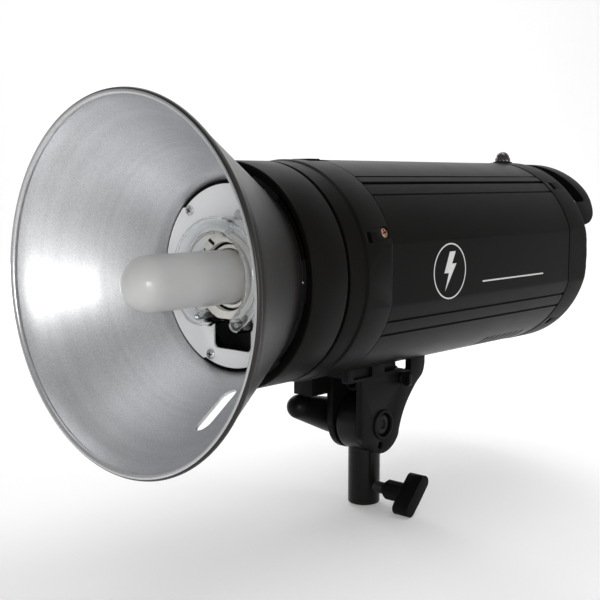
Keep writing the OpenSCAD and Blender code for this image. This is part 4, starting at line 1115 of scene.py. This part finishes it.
def thumb_screw():
    stem = soft([(0, 4.6), (3, 4.6, 0.4), (3, 16.6), (4, 16.6, 0.4), (4, 19, 0.6), (0, 19)], 3)
    ob = raw("umbrella_thumb_screw", lathe(stem, along_x(THUMB_Y, THUMB_Z), 48), ["lever"])
    leaf = soft([(18.5, -3.4, 0), (18.5, 3.4, 0), (21, 4.9, 2), (24.6, 4.6, 2.6), (24.6, -4.6, 2.6),
                 (21, -4.9, 2)], 5)
    flat = lambda x, y, h: Vector((x, THUMB_Y + h, THUMB_Z + y)) * MM
    carve(ob, prism(leaf, flat, -1.6, 1.6), op="UNION")
    piece(ob, "umbrella_clamp", ["umbrella_screw"], bevel=0.5, angle=40, segs=3, sharp=40)


thumb_screw()

# ---------------------------------------------------------------- rear panel

def dial(name, node, body, turn):
    x, _, z = pivot(turn)
    place = along_y(x, z)
    y = PANEL_Y + 0.6
    outline = soft([(0, y - 6), (3, y - 6, 0.4), (3, y), (12.4, y, 0.5), (12.4, y + 2, 0.7),
                    (11, y + 2.2, 0.3), (10.6, y + 11, 1.0), (0, y + 11)], 4)
    flutes = lambda a, r, h: -0.55 * max(0.0, cos(12 * a)) ** 3 if 10 < r < 11.2 and h < y + 10.6 else 0.0
    ob = raw(name, lathe(outline, place, 240, wave=flutes), ["knob", "print"])
    carve(ob, prism(box(-0.55, 2, 0.55, 10.4), place, y + 10.4, y + 14))
    piece(ob, body, [node], sharp=40)
    line = prism(box(-0.5, 2.1, 0.5, 10.2), place, y + 10.3, y + 10.6)
    piece(raw(name + "_line", line, ["print"]), body)
    ticks = bmesh.new()
    for i in range(11):
        half, r0, r1 = (0.35, 13.4, 15.6) if i % 5 else (0.5, 13.4, 16.4)
        prism(turned(box(-half, r0, half, r1), 135 - 27 * i), place, PANEL_Y - 0.05, PANEL_Y + 0.08, ticks)
    piece(raw(name + "_scale", ticks, ["print"]), "head")


dial("power_knob_cap", "power_dial", "power_knob", "power_dial_turn")
dial("lamp_knob_cap", "lamp_dial", "lamp_knob", "lamp_dial_turn")

# ---------------------------------------------------------------- what keeps its CAD shape

for node, mat, width in (
        ("rear_panel", "panel", 0.25), ("power_rocker", "red", 0.5), ("slave_rocker", "knob", 0.5),
        ("test_button", "red", 0.5), ("ready_lamp", "green", 0.0), ("sync_jack", "steel", 0.25),
        ("mains_inlet", "plastic", 0.5), ("inlet_pins", "brass", 0.3), ("fuse_cap", "knob", 0.5),
        ("bayonet_ring", "dark_steel", 0.2), ("tube_clip", "steel", 0.15), ("fan_frame", "plastic", 0.4),
        ("fan_rotor", "plastic", 0.2), ("main_board", "board", 0.2), ("transformer_core", "iron", 0.3),
        ("transformer_coil", "winding", 1.2), ("capacitors", "can", 0.8), ("capacitor_clamp", "sheet", 0.3),
        ("control_board", "board", 0.2), ("bulkhead", "sheet", 0.2), ("tube_sockets", "bakelite", 0.4),
        ("lamp_cap", "brass", 0.0), ("tube_ferrules", "steel", 0.2), ("lock_pin", "steel", 0.2),
        ("bayonet_rivets", "steel", 0.1)):
    from_cad(node, mat, width)


def return_spring():
    """The slider's spring, seated on the bulkhead: a copy of the CAD solid on the head, with a mesh of its
    own.
    """
    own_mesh(from_cad("slider_spring", "steel", 0.0, body="head"))


return_spring()
